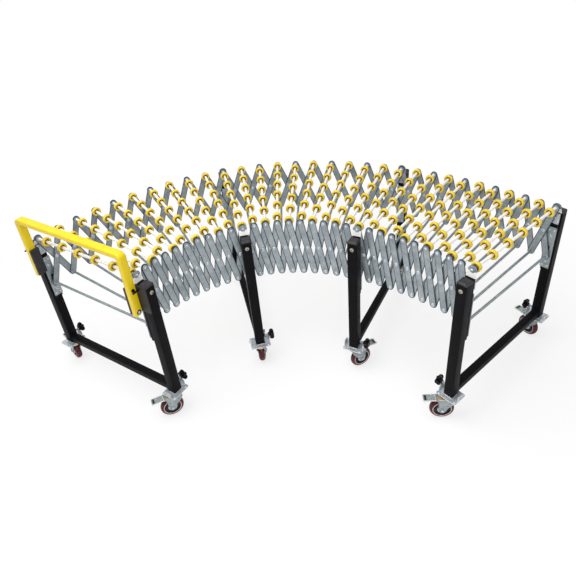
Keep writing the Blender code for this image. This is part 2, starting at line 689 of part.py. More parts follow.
def make_fork(build, parent, name, place):
    """The swivel race, crown, side plates, axle and brake pedal of one caster."""
    race = bmesh.new()
    add_turned(race, [(RACE_RADIUS, CROWN_TOP - OVERLAP), (RACE_RADIUS, CROWN_TOP + RACE_HEIGHT)],
               RACE_SIDES, Matrix.Identity(4))
    fork = build.part(f"caster_fork_{name}", race, "zinc", parent, place)

    crown = bmesh.new()
    crown_half = FORK_INNER + FORK_PLATE / 2
    add_box(crown, (OVERLAP - CROWN_LENGTH / 2, -crown_half, CROWN_BOTTOM),
            (CROWN_LENGTH / 2, crown_half, CROWN_TOP))
    build.use_tool(fork, "crown", crown, "UNION")

    plates = bmesh.new()
    for _, side in SIDES:
        add_slab(plates, fork_outline(), side * FORK_INNER, side * (FORK_INNER + FORK_PLATE))
    build.use_tool(fork, "side_plates", plates, "UNION")

    axle = bmesh.new()
    axle_end = FORK_INNER + FORK_PLATE + CASTER_AXLE_HEAD
    add_bar(axle, (CASTER_TRAIL, -axle_end, CASTER_AXLE_HEIGHT),
            (CASTER_TRAIL, axle_end, CASTER_AXLE_HEIGHT), CASTER_AXLE_RADIUS, CASTER_AXLE_SIDES)
    build.use_tool(fork, "axle", axle, "UNION")

    pedal = bmesh.new()
    root_height = (CROWN_TOP + CROWN_BOTTOM) / 2
    outline = [(PEDAL_ROOT_REACH, root_height - PEDAL_THICKNESS / 2),
               (PEDAL_REACH, PEDAL_TIP_HEIGHT - PEDAL_THICKNESS / 2),
               (PEDAL_REACH, PEDAL_TIP_HEIGHT + PEDAL_THICKNESS / 2),
               (PEDAL_ROOT_REACH, root_height + PEDAL_THICKNESS / 2)]
    add_slab(pedal, outline, -PEDAL_WIDTH / 2, PEDAL_WIDTH / 2)
    build.use_tool(fork, "pedal", pedal, "UNION")
    return fork


def make_caster_wheel(build, parent, name, place):
    """A tyred wheel with a flat of its polygon on the floor."""
    bm = bmesh.new()
    half = CASTER_WHEEL_WIDTH / 2
    shoulder = CASTER_WHEEL_RADIUS - CASTER_TREAD_CHAMFER
    outline = [(CASTER_BORE_RADIUS, -half), (shoulder, -half),
               (CASTER_WHEEL_RADIUS, CASTER_TREAD_CHAMFER - half),
               (CASTER_WHEEL_RADIUS, half - CASTER_TREAD_CHAMFER),
               (shoulder, half), (CASTER_BORE_RADIUS, half)]
    across = Matrix.Rotation(-math.pi / 2, 4, "X") @ Matrix.Rotation(math.pi / 2, 4, "Z")
    add_turned(bm, outline, CASTER_WHEEL_SIDES, across, ring_closed=True)
    build.part(f"caster_wheel_{name}", bm, "tread_red", parent, place)


def make_casters(build, carriers, number, axle):
    for side_name, side in SIDES:
        name = f"{side_name}_{number}"
        leg_place = STATIONS[axle] @ Matrix.Translation((0, side * LEG_ACROSS, 0))
        post = make_post(build, carriers[axle], name, leg_place)
        heading = math.radians(CASTER_HEADINGS[side_name, number])
        fork_place = leg_place @ Matrix.Rotation(heading, 4, "Z")
        fork = make_fork(build, post, name, fork_place)
        wheel_middle = Matrix.Translation((CASTER_TRAIL, 0, CASTER_AXLE_HEIGHT))
        make_caster_wheel(build, fork, name, fork_place @ wheel_middle)


def stand_at_origin(build):
    """Shift the whole conveyor so its box stands centred on the origin."""
    bpy.context.view_layer.update()
    graph = bpy.context.evaluated_depsgraph_get()
    points = []
    for made in build.parts.objects:
        if made.type == "MESH":
            shape = made.evaluated_get(graph)
            points += [shape.matrix_world @ vertex.co for vertex in shape.data.vertices]
    low = [min(point[axis] for point in points) for axis in range(3)]
    high = [max(point[axis] for point in points) for axis in range(3)]
    build.origin.location = (-(low[0] + high[0]) / 2, -(low[1] + high[1]) / 2, -low[2])
    bpy.context.view_layer.update()


def main():
    for old in list(bpy.data.objects):
        bpy.data.objects.remove(old, do_unlink=True)
    build = Builder()
    carriers = make_station_joints(build)
    make_wheel_rows(build, carriers)
    make_lattice(build, carriers)
    for number, axle in enumerate(FRAME_AXLES, start=1):
        make_leg_frame(build, carriers, number, axle)
        make_casters(build, carriers, number, axle)
    make_handle(build, carriers)
    stand_at_origin(build)


main()
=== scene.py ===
"""Flexible skate wheel conveyor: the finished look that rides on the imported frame.

Every piece is made in the frame of one axle's station: X runs along the bed, Y across it
towards the far side, and Z up. Lengths are in metres and angles in radians. Small hardware is
written in millimetres, as in_mm and the functions after it say.
"""
import json
from math import atan2, cos, pi, radians, sin, sqrt, tau

import bmesh
import bpy
from mathutils import Matrix, Vector


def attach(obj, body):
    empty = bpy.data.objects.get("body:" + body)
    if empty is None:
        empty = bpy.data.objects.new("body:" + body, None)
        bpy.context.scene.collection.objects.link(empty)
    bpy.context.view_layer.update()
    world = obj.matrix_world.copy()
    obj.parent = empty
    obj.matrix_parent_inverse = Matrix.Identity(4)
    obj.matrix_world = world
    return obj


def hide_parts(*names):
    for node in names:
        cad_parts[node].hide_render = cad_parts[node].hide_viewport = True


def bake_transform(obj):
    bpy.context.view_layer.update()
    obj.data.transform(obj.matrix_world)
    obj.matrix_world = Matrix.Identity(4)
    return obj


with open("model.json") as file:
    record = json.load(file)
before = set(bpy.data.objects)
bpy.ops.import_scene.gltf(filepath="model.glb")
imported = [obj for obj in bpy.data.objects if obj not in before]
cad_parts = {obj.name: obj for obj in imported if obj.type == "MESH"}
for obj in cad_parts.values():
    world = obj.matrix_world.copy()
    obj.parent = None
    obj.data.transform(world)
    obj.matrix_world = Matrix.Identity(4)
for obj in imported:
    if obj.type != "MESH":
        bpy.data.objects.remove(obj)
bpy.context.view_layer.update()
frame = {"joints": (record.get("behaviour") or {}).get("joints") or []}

MM = 0.001
QUARTER = pi / 2
IDENTITY = Matrix.Identity(4)
ON_SIDE = Matrix.Rotation(-QUARTER, 4, "X")
BOTH = (-1, 1)
SIDES = (("near", -1), ("far", 1))

# The bed, as in the CAD
CELLS = 30
MIDDLE_AXLE = 15
FRAME_AXLES = {1: 0, 2: 10, 3: 20, 4: 30}
AXLE_HEIGHT = 0.890
GAUGE = 0.700
INNER_PITCH = 0.059
TIGHT_TURN = radians(4.42)
END_TURN = radians(1.55)
EASING_START_CELL = 13
LINK_LENGTH = 0.302
LINK_WIDTH = 0.036
LAYER_OFFSET = 0.003
LATTICE_HALF = 0.005
LATTICE_FACE = GAUGE / 2 + LATTICE_HALF
ROW_HALF = 0.3442
WHEEL_SPACING = 0.123
WHEEL_COUNT = 6
END_WHEEL_INSET = 0.020

# The leg frames, as in the CAD
LEG_TUBE = 0.050
LEG_WALL = 0.0025
LEG_TOP = 0.858
LEG_BOTTOM = 0.166
CROSS_BAR = 0.040
PLATE_INNER = 0.3585
RAIL_INNER = 0.3625
TUBE_INNER = 0.3825
LEG_ACROSS = 0.4075
KNOB_HEIGHT = LEG_BOTTOM + 0.037
LEG_BOLT_HEIGHT = LEG_TOP - 0.044
RAIL_WIDTH = 0.040
RAIL_BOTTOM = AXLE_HEIGHT - 0.383
STRAP_MIDDLE = LEG_TOP - 0.033
BRACKET_WIDTH = 0.046
BRACKET_TOP = AXLE_HEIGHT - 0.118
BRACKET_BOTTOM = AXLE_HEIGHT - 0.367
SLOT_MIDDLE = AXLE_HEIGHT - 0.268
PLATE_THICKNESS = 4 * MM
EAR_THICKNESS = 3.6 * MM
CAP_DEPTH = 12 * MM

# The handle, as in the CAD
HANDLE_Y = 0.362
HANDLE_X = -0.052
HANDLE_WIDTH = 0.040
HANDLE_DEPTH = 0.025
HANDLE_TOP = AXLE_HEIGHT + 0.140
HANDLE_BEND = 0.014
PIVOT_HEIGHT = AXLE_HEIGHT - 0.173
LOCK_PIN_HEIGHT = PIVOT_HEIGHT + 0.124
BLOCK_BOTTOM = AXLE_HEIGHT - 0.184
BLOCK_TOP = AXLE_HEIGHT - 0.034

# The casters, as in the CAD
PLATE_TOP = 0.160
PLATE_BOTTOM = PLATE_TOP - 5 * MM
PLATE_LENGTH = 0.110
PLATE_WIDTH = 0.090
POST_SIZE = 0.044
POST_TOP = 0.510
FORK_INNER = 0.020
CROWN_TOP = 0.1387
CASTER_TRAIL = 0.036
WHEEL_AXLE_HEIGHT = 0.0625 * cos(pi / 16)
PEDAL_START = Vector((0.020, 0, 0.1347))
PEDAL_TIP = Vector((0.134, 0, 0.129))
CASTER_HEADINGS = {
    ("near", 1): 145, ("near", 2): 76, ("near", 3): 54, ("near", 4): -134,
    ("far", 1): 75, ("far", 2): 60, ("far", 3): 120, ("far", 4): 168,
}


def shift(x, y, z):
    return Matrix.Translation((x, y, z))


def turn_of_cell(cell):
    """How far the bed turns in one cell: tight at first, easing towards the last axle."""
    run = max(0.0, (cell - EASING_START_CELL) / (CELLS - 1 - EASING_START_CELL))
    return TIGHT_TURN + (END_TURN - TIGHT_TURN) * run * run * (3 - 2 * run)


def turning_radius(turn):
    return INNER_PITCH / (2 * sin(turn / 2)) + GAUGE / 2


def step_along(turn):
    centre = shift(0, -turning_radius(turn), 0)
    return centre @ Matrix.Rotation(-turn, 4, "Z") @ centre.inverted()


def lay_out_stations():
    """Each axle's frame, out from the middle axle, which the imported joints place."""
    joint = next(j for j in frame["joints"] if j["name"] == f"stretch_{MIDDLE_AXLE + 1}")
    middle = Vector(joint["pos_m"]) + Vector((0, turning_radius(turn_of_cell(MIDDLE_AXLE)), 0))
    stations = {MIDDLE_AXLE: Matrix.Translation(middle)}
    for axle in range(MIDDLE_AXLE + 1, CELLS + 1):
        stations[axle] = stations[axle - 1] @ step_along(turn_of_cell(axle - 1))
    for axle in range(MIDDLE_AXLE - 1, -1, -1):
        stations[axle] = stations[axle + 1] @ step_along(turn_of_cell(axle)).inverted()
    return stations


STATIONS = lay_out_stations()


def side_point(axle, side, height):
    return STATIONS[axle] @ Vector((0, side * GAUGE / 2, height))


def bottom_height(axle, side):
    """Where a bottom pivot hangs, from the mean pitch of the cells beside it."""
    cells = [cell for cell in (axle - 1, axle) if 0 <= cell < CELLS]
    pitches = [(side_point(cell + 1, side, 0) - side_point(cell, side, 0)).length
               for cell in cells]
    pitch = sum(pitches) / len(pitches)
    return AXLE_HEIGHT - sqrt(LINK_LENGTH ** 2 - pitch ** 2)


# Materials

FINISHES = []

# The usual roughness of a finish's noise
SOFT = 0.55


def linear(hex_colour):
    """An sRGB hex colour as the linear colour that a socket takes."""
    parts = [int(hex_colour[place:place + 2], 16) / 255 for place in (1, 3, 5)]
    return (*[p / 12.92 if p <= 0.04045 else ((p + 0.055) / 1.055) ** 2.4 for p in parts], 1)


def wire(tree, node, inputs):
    """Set or link each of a node's inputs."""
    for name, source in inputs.items():
        if isinstance(source, bpy.types.NodeSocket):
            tree.links.new(source, node.inputs[name])
        else:
            node.inputs[name].default_value = source


def add_node(tree, kind, inputs=None, **settings):
    """Add a node with its settings, and set or link its inputs."""
    node = tree.nodes.new(kind)
    for name, value in settings.items():
        setattr(node, name, value)
    wire(tree, node, inputs or {})
    return node


def new_material(name, **sockets):
    """A material, its tree, its shader with the constant sockets set, and its place."""
    material = bpy.data.materials.new(name)
    material.use_nodes = True
    tree = material.node_tree
    shader = tree.nodes["Principled BSDF"]
    wire(tree, shader, {label.replace("_", " "): sockets[label] for label in sockets})
    return material, tree, shader, add_node(tree, "ShaderNodeTexCoord").outputs["Object"]


def dress(material, shader, tone, colours, sheen, gloss, ends, height, relief):
    """Give a finish its colour, roughness and bump from three factors, and number it.

    Colours are (position, hex colour) pairs along the tone. Gloss is the two roughnesses that
    the sheen spans between its ends. Relief is the bump's depth in millimetres and strength.
    """
    tree = material.node_tree
    ramp = add_node(tree, "ShaderNodeValToRGB", {"Fac": tone})
    elements = ramp.color_ramp.elements
    while len(elements) < len(colours):
        elements.new(0.5)
    for element, (position, colour) in zip(elements, colours):
        element.position = position
        element.color = linear(colour)
    spread = add_node(tree, "ShaderNodeMapRange", {
        "Value": sheen, "From Min": ends[0], "From Max": ends[1],
        "To Min": gloss[0], "To Max": gloss[1]})
    wire(tree, shader, {
        "Base Color": ramp.outputs["Color"], "Roughness": spread.outputs["Result"]})
    if relief:
        bump = add_node(tree, "ShaderNodeBump", {
            "Height": height, "Distance": relief[0] * MM, "Strength": relief[1]})
        wire(tree, shader, {"Normal": bump.outputs["Normal"]})
    FINISHES.append(material)
    return len(FINISHES) - 1


def add_finish(name, grain, colours, gloss, gloss_grain=None, relief=None, relief_grain=None,
               **sockets):
    """A finish whose colour, gloss and relief follow soft noise.

    A grain is the noise's blotch size in millimetres, its detail and its roughness. The gloss
    and the relief follow the colour's grain where they have none of their own.
    """
    material, tree, shader, place = new_material(name, **sockets)
    gloss_grain = gloss_grain or grain
    relief_grain = relief_grain or grain
    factors = {}
    for each in dict.fromkeys((grain, gloss_grain, relief_grain)):
        size, detail, roughness = each
        noise = add_node(tree, "ShaderNodeTexNoise", {
            "Vector": place, "Scale": 1 / (size * MM), "Detail": detail, "Roughness": roughness})
        factors[each] = noise.outputs["Fac"]
    return dress(material, shader, factors[grain], colours, factors[gloss_grain], gloss,
                 (0.3, 0.7), factors[relief_grain], relief)


def add_galvanised_strip():
    """Hot-dip galvanised strip: blue-grey spangle some 9 mm across, drawn coarse to show."""
    material, tree, shader, place = new_material("galvanised_strip_steel", Metallic=0.6)
    spangle = add_node(tree, "ShaderNodeTexVoronoi", {
        "Vector": place, "Scale": 1 / (9 * MM), "Randomness": 1.0})
    flakes = add_node(tree, "ShaderNodeSeparateColor", {"Color": spangle.outputs["Color"]})
    cloud = add_node(tree, "ShaderNodeTexNoise", {
        "Vector": place, "Scale": 1 / (60 * MM), "Detail": 4, "Roughness": SOFT})
    faint = add_node(tree, "ShaderNodeMath", {0: flakes.outputs["Red"], 1: 0.16},
                     operation="MULTIPLY")
    whole = add_node(tree, "ShaderNodeMath", {0: faint.outputs[0], 1: cloud.outputs["Fac"]},
                     operation="ADD").outputs[0]
    return dress(material, shader, whole,
                 ((0.35, "#828C91"), (0.58, "#979FA4"), (0.82, "#ABB3B6")),
                 whole, (0.34, 0.5), (0.3, 0.95), flakes.outputs["Green"], (0.03, 0.4))


# Injection moulded yellow polypropylene: even colour, soft gloss, faint flow marks
WHEEL_YELLOW = add_finish(
    "moulded_yellow_polypropylene", (14, 3, SOFT), ((0.3, "#D8B92C"), (0.7, "#E4C842")),
    gloss=(0.28, 0.42), gloss_grain=(5, 3, SOFT), relief=(0.08, 1),
    relief_grain=(3, 2, SOFT), IOR=1.49)
# Pressed steel cups of the wheel's ball race, coloured dark brown as painted shade in the deep
# recess
HUB_SHADE = add_finish(
    "bearing_cup_painted_shade", (6, 3, SOFT), ((0.32, "#523602"), (0.68, "#8E6408")),
    gloss=(0.5, 0.3), IOR=1.4, Specular_IOR_Level=0.2)
# Bright zinc plate on drawn tube: almost white, with a soft sheen and a few dull spots. The same
# near-white is a painted highlight on the ear plates' lower part and on the pedal lips
TUBE_AND_HIGHLIGHT = add_finish(
    "bright_zinc_tube_and_painted_highlight", (30, 4, SOFT), ((0.28, "#E6E4E0"), (0.62, "#F8F6F2")),
    gloss=(0.38, 0.24), relief=(0.05, 1), relief_grain=(2, 2, SOFT), Metallic=0.3)
STRIP = add_galvanised_strip()
# The strip's edges: a dark band of painted shade that outlines each link and slot, with fine burrs
EDGE_SHADE = add_finish(
    "strip_edge_painted_shade", (4, 4, SOFT), ((0.3, "#333D45"), (0.7, "#4C5860")),
    gloss=(0.65, 0.45), relief=(0.15, 1), Metallic=0.6)
# Set rivet heads and nuts in bright blue zinc, rubbed duller in spots
RIVET = add_finish(
    "blue_zinc_fastener", (5, 3, SOFT), ((0.3, "#A2ADB8"), (0.7, "#CBD5DE")),
    gloss=(0.44, 0.3), Metallic=0.6)
# Zinc-plated pressings: silver, slightly mottled, with a satin roll grain
ZINC = add_finish(
    "zinc_plated_pressing", (22, 5, SOFT), ((0.28, "#A9AFB6"), (0.66, "#D5DADE")),
    gloss=(0.24, 0.42), gloss_grain=(6, 4, SOFT), relief=(0.05, 1),
    relief_grain=(1.6, 2, SOFT), Metallic=0.55)
# The fork's duller zinc plate, greyer where the pressing was drawn
FORK = add_finish(
    "dull_zinc_fork", (16, 5, SOFT), ((0.3, "#7F898D"), (0.7, "#A3ACAF")),
    gloss=(0.5, 0.34), relief=(0.06, 1), relief_grain=(2, 3, SOFT), Metallic=0.6)
# Yellow chromate on the swivel's ball races: a thin brassy film
RACE = add_finish(
    "yellow_chromate_race", (9, 4, SOFT), ((0.3, "#B39C6C"), (0.7, "#D6C498")),
    gloss=(0.42, 0.28), Metallic=0.5)
# Satin black powder coat: orange peel about 2 mm across and a few pale scuffs
BLACK = add_finish(
    "satin_black_powder_coat", (35, 8, 0.7),
    ((0.3, "#0B0B0D"), (0.62, "#121114"), (0.86, "#232127")), gloss=(0.36, 0.52),
    relief=(0.12, 0.7), relief_grain=(2, 1, SOFT), IOR=1.35, Specular_IOR_Level=0.09)
# Moulded polyethylene end caps: a greyer, softer black than the paint. The same dark grey is
# painted shade on the caster wheels' recessed webs
CAP_AND_SHADE = add_finish(
    "moulded_polyethylene_cap_and_painted_shade", (12, 4, SOFT), ((0.3, "#1A181C"), (0.7, "#29272C")),
    gloss=(0.45, 0.6), relief=(0.05, 1), relief_grain=(1.5, 1, SOFT), IOR=1.45)
# Phenolic knobs, pins and blocks: hard, glossy black with sharp small highlights
KNOB = add_finish(
    "glossy_black_phenolic", (8, 5, SOFT), ((0.3, "#040405"), (0.7, "#0C0C0E")),
    gloss=(0.2, 0.34), IOR=1.5, Specular_IOR_Level=0.14)
# Gloss yellow powder coat: strong colour, orange peel some 3 mm across
HANDLE = add_finish(
    "gloss_yellow_powder_coat", (90, 4, SOFT), ((0.3, "#DDBE08"), (0.7, "#EBCE12")),
    gloss=(0.3, 0.42), gloss_grain=(12, 5, SOFT), relief=(0.1, 0.6),
    relief_grain=(3, 1, SOFT), IOR=1.5, Specular_IOR_Level=0.35, Coat_Weight=0.15,
    Coat_Roughness=0.12)
# Cast polyurethane: deep translucent red that looks wet, scuffed dull where it rolls
TREAD = add_finish(
    "cast_red_polyurethane", (10, 7, 0.65),
    ((0.3, "#3C0510"), (0.6, "#500A16"), (0.82, "#64161F")), gloss=(0.18, 0.34),
    relief=(0.1, 0.5), IOR=1.5, Specular_IOR_Level=0.32)
# The caster wheel's moulded core, which shows as a pale ring inside the tread
RIM = add_finish(
    "pale_moulded_core", (15, 3, SOFT), ((0.3, "#AE9496"), (0.7, "#C7B2B2")),
    gloss=(0.35, 0.5), IOR=1.5)
# The unlit inside of a slot or socket, dull with grime
SLOT = add_finish(
    "shadowed_slot", (5, 3, SOFT), ((0.3, "#0C0C0D"), (0.7, "#1A191A")),
    gloss=(0.6, 0.8), IOR=1.45)
# Dull nickel on the leg bolts: a warm grey, half matt from handling
NICKEL = add_finish(
    "dull_nickel_bolt", (4, 3, SOFT), ((0.3, "#8E8A7C"), (0.7, "#B4AF9E")),
    gloss=(0.58, 0.42), Metallic=0.5)


# Shapes

def in_mm(pairs, base=0.0):
    """Pairs written in millimetres, such as radius and height, the second above a base."""
    return [(first * MM, base + second * MM) for first, second in pairs]


def mirrored(profile):
    """A turned profile's other half, back across its middle."""
    return [(radius, -height) for radius, height in reversed(profile)]


def add_skin(bm, rings, closed=False, finish=0, bands=None):
    """Join equal rings of points. Bands gives each band between two rings its own finish."""
    loops = [[bm.verts.new(point) for point in ring] for ring in rings]
    pairs = list(zip(loops, loops[1:]))
    if closed:
        pairs.append((loops[-1], loops[0]))
    bands = bands or [finish] * len(pairs)
    faces = []
    for (first, second), band in zip(pairs, bands):
        for index in range(len(first)):
            following = (index + 1) % len(first)
            face = bm.faces.new((first[index], first[following], second[following],
                                 second[index]))
            face.material_index = band
            faces.append(face)
    if not closed:
        for loop, band in ((loops[0], bands[0]), (loops[-1], bands[-1])):
            face = bm.faces.new(loop)
            face.material_index = band
            faces.append(face)
    bmesh.ops.recalc_face_normals(bm, faces=faces)


def inset(outline, distance):
    """Move an outline's sides inwards, or outwards for a negative distance."""
    area = sum(a[0] * b[1] - b[0] * a[1] for a, b in zip(outline, outline[1:] + outline[:1]))
    turn = 1 if area > 0 else -1
    moved = []
    for index, here in enumerate(outline):
        before = Vector(here) - Vector(outline[index - 1])
        after = Vector(outline[(index + 1) % len(outline)]) - Vector(here)
        normals = [turn * Vector((-way.y, way.x)).normalized() for way in (before, after)]
        middle = normals[0] + normals[1]
        middle *= distance * 2 / max(middle.length_squared, 0.2)
        moved.append((here[0] + middle.x, here[1] + middle.y))
    return moved


def rings_of(outline, levels, place=IDENTITY):
    """A ring for each level: how far inwards from the outline it runs, and how high."""
    return [[place @ Vector((x, y, height)) for x, y in inset(outline, distance)]
            for distance, height in levels]


def polar(radius, angle, middle=(0, 0)):
    """A point on a circle about a middle."""
    return middle[0] + radius * cos(angle), middle[1] + radius * sin(angle)


def rounded_rectangle(width, height, radius, steps=3, middle=(0, 0)):
    """An outline whose four corners each have a number of steps."""
    points = []
    for corner, (sx, sy) in enumerate(((1, 1), (-1, 1), (-1, -1), (1, -1))):
        x = middle[0] + sx * (width / 2 - radius)
        y = middle[1] + sy * (height / 2 - radius)
        for step in range(steps + 1):
            angle = QUARTER * (corner + step / steps)
            points.append(polar(radius, angle, (x, y)))
    return points


def add_prism(bm, outline, low, high, place, edge, finish):
    """An outline given some thickness along Z, with small chamfers round both faces."""
    levels = ((edge, low), (0, low + edge), (0, high - edge), (edge, high))
    add_skin(bm, rings_of(outline, levels, place), finish=finish)


def add_turned(bm, profile, sides, place=IDENTITY, closed=False, finish=0, bands=None):
    """A turned shape about Z, from (radius, height) pairs."""
    angles = [tau * corner / sides for corner in range(sides)]
    rings = [[place @ Vector((*polar(radius, angle), height)) for angle in angles]
             for radius, height in profile]
    add_skin(bm, rings, closed, finish, bands)


def across(side, y, z, x=0.0):
    """A frame on one side of the bed, y out from the middle, whose Z points outwards."""
    return shift(x, side * y, z) @ Matrix.Rotation(-side * QUARTER, 4, "X")


def facing(direction, at):
    """A frame at a point whose Z runs along a direction."""
    return Matrix.Translation(at) @ Vector(direction).to_track_quat("Z", "Y").to_matrix().to_4x4()


def upright(place, y):
    """A frame for an upright plate's outline in X and Z, whose own Z points along minus Y."""
    return place @ shift(0, y, 0) @ Matrix.Rotation(QUARTER, 4, "X")


def outer_span(side, thickness):
    """The two faces of an upright plate that thickens away from the middle."""
    return (-thickness, 0) if side > 0 else (0, thickness)


def add_hex(bm, across_flats, low, high, place, finish=RIVET):
    """A hexagon nut or bolt head with its chamfered top, in millimetres."""
    radius = across_flats * MM / sqrt(3)
    outline = [polar(radius, pi / 3 * corner) for corner in range(6)]
    add_prism(bm, outline, low * MM, high * MM, place, 0.8 * MM, finish)


def add_washer(bm, radius, low, high, place, finish):
    """A washer with a rounded upper edge, in millimetres."""
    bevel = min(0.4, high - low)
    edge = [polar(bevel, QUARTER * step / 2, (radius - bevel, high - bevel))
            for step in range(3)]
    add_turned(bm, in_mm([(radius, low)] + edge), 16, place, finish=finish)


def add_dome(bm, radius, low, height, place, finish=RIVET, sides=12):
    """A rivet's or carriage bolt's domed head, in millimetres."""
    profile = [(radius, low)]
    for step in range(4):
        angle = QUARTER * step / 3.4
        profile.append((radius * cos(angle), low + height * (0.12 + 0.88 * sin(angle))))
    add_turned(bm, in_mm(profile), sides, place, finish=finish)


def add_tube(bm, outline, mouth, end, wall, place, finish=BLACK):
    """A hollow section along Z, from its open mouth to its closed end."""
    back = end + (wall if end < mouth else -wall)
    levels = ((wall, back), (wall, mouth), (0, mouth), (0, end))
    add_skin(bm, rings_of(outline, levels, place), finish=finish)


def add_bar(bm, ends, radius, sides, finish):
    """A round bar between two points, with small bevels, its radius in millimetres."""
    start, end = ends
    length = (end - start).length
    radius *= MM
    bevel = radius * 0.2
    profile = [(radius - bevel, 0), (radius, bevel), (radius, length - bevel),
               (radius - bevel, length)]
    add_turned(bm, profile, sides, facing(end - start, start), finish=finish)


def put_in_scene(name, data):
    made = bpy.data.objects.new(name, data)
    bpy.context.scene.collection.objects.link(made)
    return made


def as_mesh(name, bm):
    """A bmesh as a smooth mesh that numbers only the finishes it uses, and their list."""
    used = sorted({face.material_index for face in bm.faces})
    for face in bm.faces:
        face.material_index = used.index(face.material_index)
        face.smooth = True
    mesh = bpy.data.meshes.new(name)
    bm.to_mesh(mesh)
    bm.free()
    return mesh, used


def new_piece(name, bm, body, replaces=(), smooth=34, blend=None):
    """Turn a bmesh into a piece that rides on a body, or stays put in the world when a blend is
    given.
    """
    mesh, used = as_mesh(name, bm)
    for index in used:
        mesh.materials.append(FINISHES[index])
    mesh.set_sharp_from_angle(angle=radians(smooth))
    made = put_in_scene(name, mesh)
    if blend:
        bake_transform(made)
    else:
        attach(made, body)
    if replaces:
        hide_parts(*replaces)


# Geometry Nodes

FINISH_INPUTS = {f"Finish {number}": "Material" for number in (1, 2, 3)}
PATTERNS = []


def new_tree(name, inputs):
    """A node tree with named inputs, their identifiers, and the sockets that give them."""
    tree = bpy.data.node_groups.new(name, "GeometryNodeTree")
    tree.interface.new_socket("Geometry", in_out="OUTPUT", socket_type="NodeSocketGeometry")
    sockets = {}
    for label, kind in {"Geometry": "Geometry", **inputs, **FINISH_INPUTS}.items():
        made = tree.interface.new_socket(label, in_out="INPUT", socket_type=f"NodeSocket{kind}")
        sockets[label] = made.identifier
    return tree, sockets, add_node(tree, "NodeGroupInput").outputs


def end_tree(tree, given, geometry):
    """Realize the copies and give each face the finish that its piece asks for."""
    geometry = add_node(tree, "GeometryNodeRealizeInstances", {0: geometry}).outputs[0]
    number = add_node(tree, "GeometryNodeInputNamedAttribute", {"Name": "finish"},
                      data_type="INT").outputs[0]
    for index, label in enumerate(FINISH_INPUTS):
        chosen = add_node(tree, "FunctionNodeCompare", {2: number, 3: index},
                          data_type="INT", operation="EQUAL")
        geometry = add_node(tree, "GeometryNodeSetMaterial", {
            "Geometry": geometry, "Selection": chosen.outputs[0],
            "Material": given[label]}).outputs[0]
    add_node(tree, "NodeGroupOutput", {0: geometry})


def wheel_row_tree():
    """Wheels along an axle, from their count, spacing and the first one's place."""
    tree, sockets, given = new_tree("wheel_row", {
        "Wheel": "Object", "Wheel Count": "Int", "Wheel Spacing": "Float",
        "First Wheel": "Float", "Axle Height": "Float"})
    start = add_node(tree, "ShaderNodeCombineXYZ", {
        "Y": given["First Wheel"], "Z": given["Axle Height"]})
    step = add_node(tree, "ShaderNodeCombineXYZ", {"Y": given["Wheel Spacing"]})
    line = add_node(tree, "GeometryNodeMeshLine", {
        "Count": given["Wheel Count"], "Start Location": start.outputs[0],
        "Offset": step.outputs[0]}, mode="OFFSET")
    wheel = add_node(tree, "GeometryNodeObjectInfo", {"Object": given["Wheel"]})
    copies = add_node(tree, "GeometryNodeInstanceOnPoints", {
        "Points": line.outputs[0], "Instance": wheel.outputs["Geometry"]})
    end_tree(tree, given, copies.outputs[0])
    return tree, sockets


def set_out_tree():
    """Copies of a piece on the carrier's points, turned and sized by their attributes."""
    tree, sockets, given = new_tree("set_out", {"Piece": "Object"})
    turn, size = [add_node(tree, "GeometryNodeInputNamedAttribute", {"Name": name},
                           data_type="FLOAT_VECTOR").outputs[0] for name in ("turn", "size")]
    rotation = add_node(tree, "FunctionNodeEulerToRotation", {0: turn})
    piece = add_node(tree, "GeometryNodeObjectInfo", {"Object": given["Piece"]})
    copies = add_node(tree, "GeometryNodeInstanceOnPoints", {
        "Points": given["Geometry"], "Instance": piece.outputs["Geometry"],
        "Rotation": rotation.outputs[0], "Scale": size})
    end_tree(tree, given, copies.outputs[0])
    return tree, sockets


WHEEL_ROW_TREE = wheel_row_tree()
SET_OUT_TREE = set_out_tree()


def new_pattern(name, bm):
    """A shape to be copied, whose finishes are numbered in an attribute of its faces."""
    mesh, used = as_mesh(name, bm)
    numbers = [face.material_index for face in mesh.polygons]
    mesh.attributes.new("finish", "INT", "FACE").data.foreach_set("value", numbers)
    made = put_in_scene(name, mesh)
    PATTERNS.append(made)
    return made, used


def grow(carrier_mesh, tree, inputs, used):
    """Run a tree on a carrier mesh, and return the result as a plain mesh."""
    carrier = put_in_scene("carrier", carrier_mesh)
    modifier = carrier.modifiers.new("grow", "NODES")
    modifier.node_group, sockets = tree
    for label, value in inputs.items():
        modifier[sockets[label]] = value
    for label, finish in zip(FINISH_INPUTS, used):
        modifier[sockets[label]] = FINISHES[finish]
    graph = bpy.context.evaluated_depsgraph_get()
    mesh = bpy.data.meshes.new_from_object(carrier.evaluated_get(graph))
    bpy.data.objects.remove(carrier)
    return mesh


def set_out(bm, pattern, places):
    """Copy a pattern to each place, and add the copies to a bmesh."""
    shape, used = pattern
    points = bpy.data.meshes.new("places")
    points.from_pydata([place.translation for place in places], [], [])
    turns = points.attributes.new("turn", "FLOAT_VECTOR", "POINT")
    sizes = points.attributes.new("size", "FLOAT_VECTOR", "POINT")
    for index, place in enumerate(places):
        turns.data[index].vector = Vector(place.to_euler())
        sizes.data[index].vector = place.to_scale()
    add_mesh(bm, grow(points, SET_OUT_TREE, {"Piece": shape}, used))


def add_mesh(bm, mesh, place=IDENTITY):
    """Add a mesh to a bmesh, keeping each face's finish."""
    numbers = [FINISHES.index(material) if material in FINISHES else 0
               for material in mesh.materials]
    first = len(bm.faces)
    before = len(bm.verts)
    bm.from_mesh(mesh)
    bm.faces.ensure_lookup_table()
    bm.verts.ensure_lookup_table()
    for face in bm.faces[first:]:
        face.material_index = numbers[face.material_index]
    if place != IDENTITY:
        bmesh.ops.transform(bm, matrix=place, verts=bm.verts[before:])


# The bed

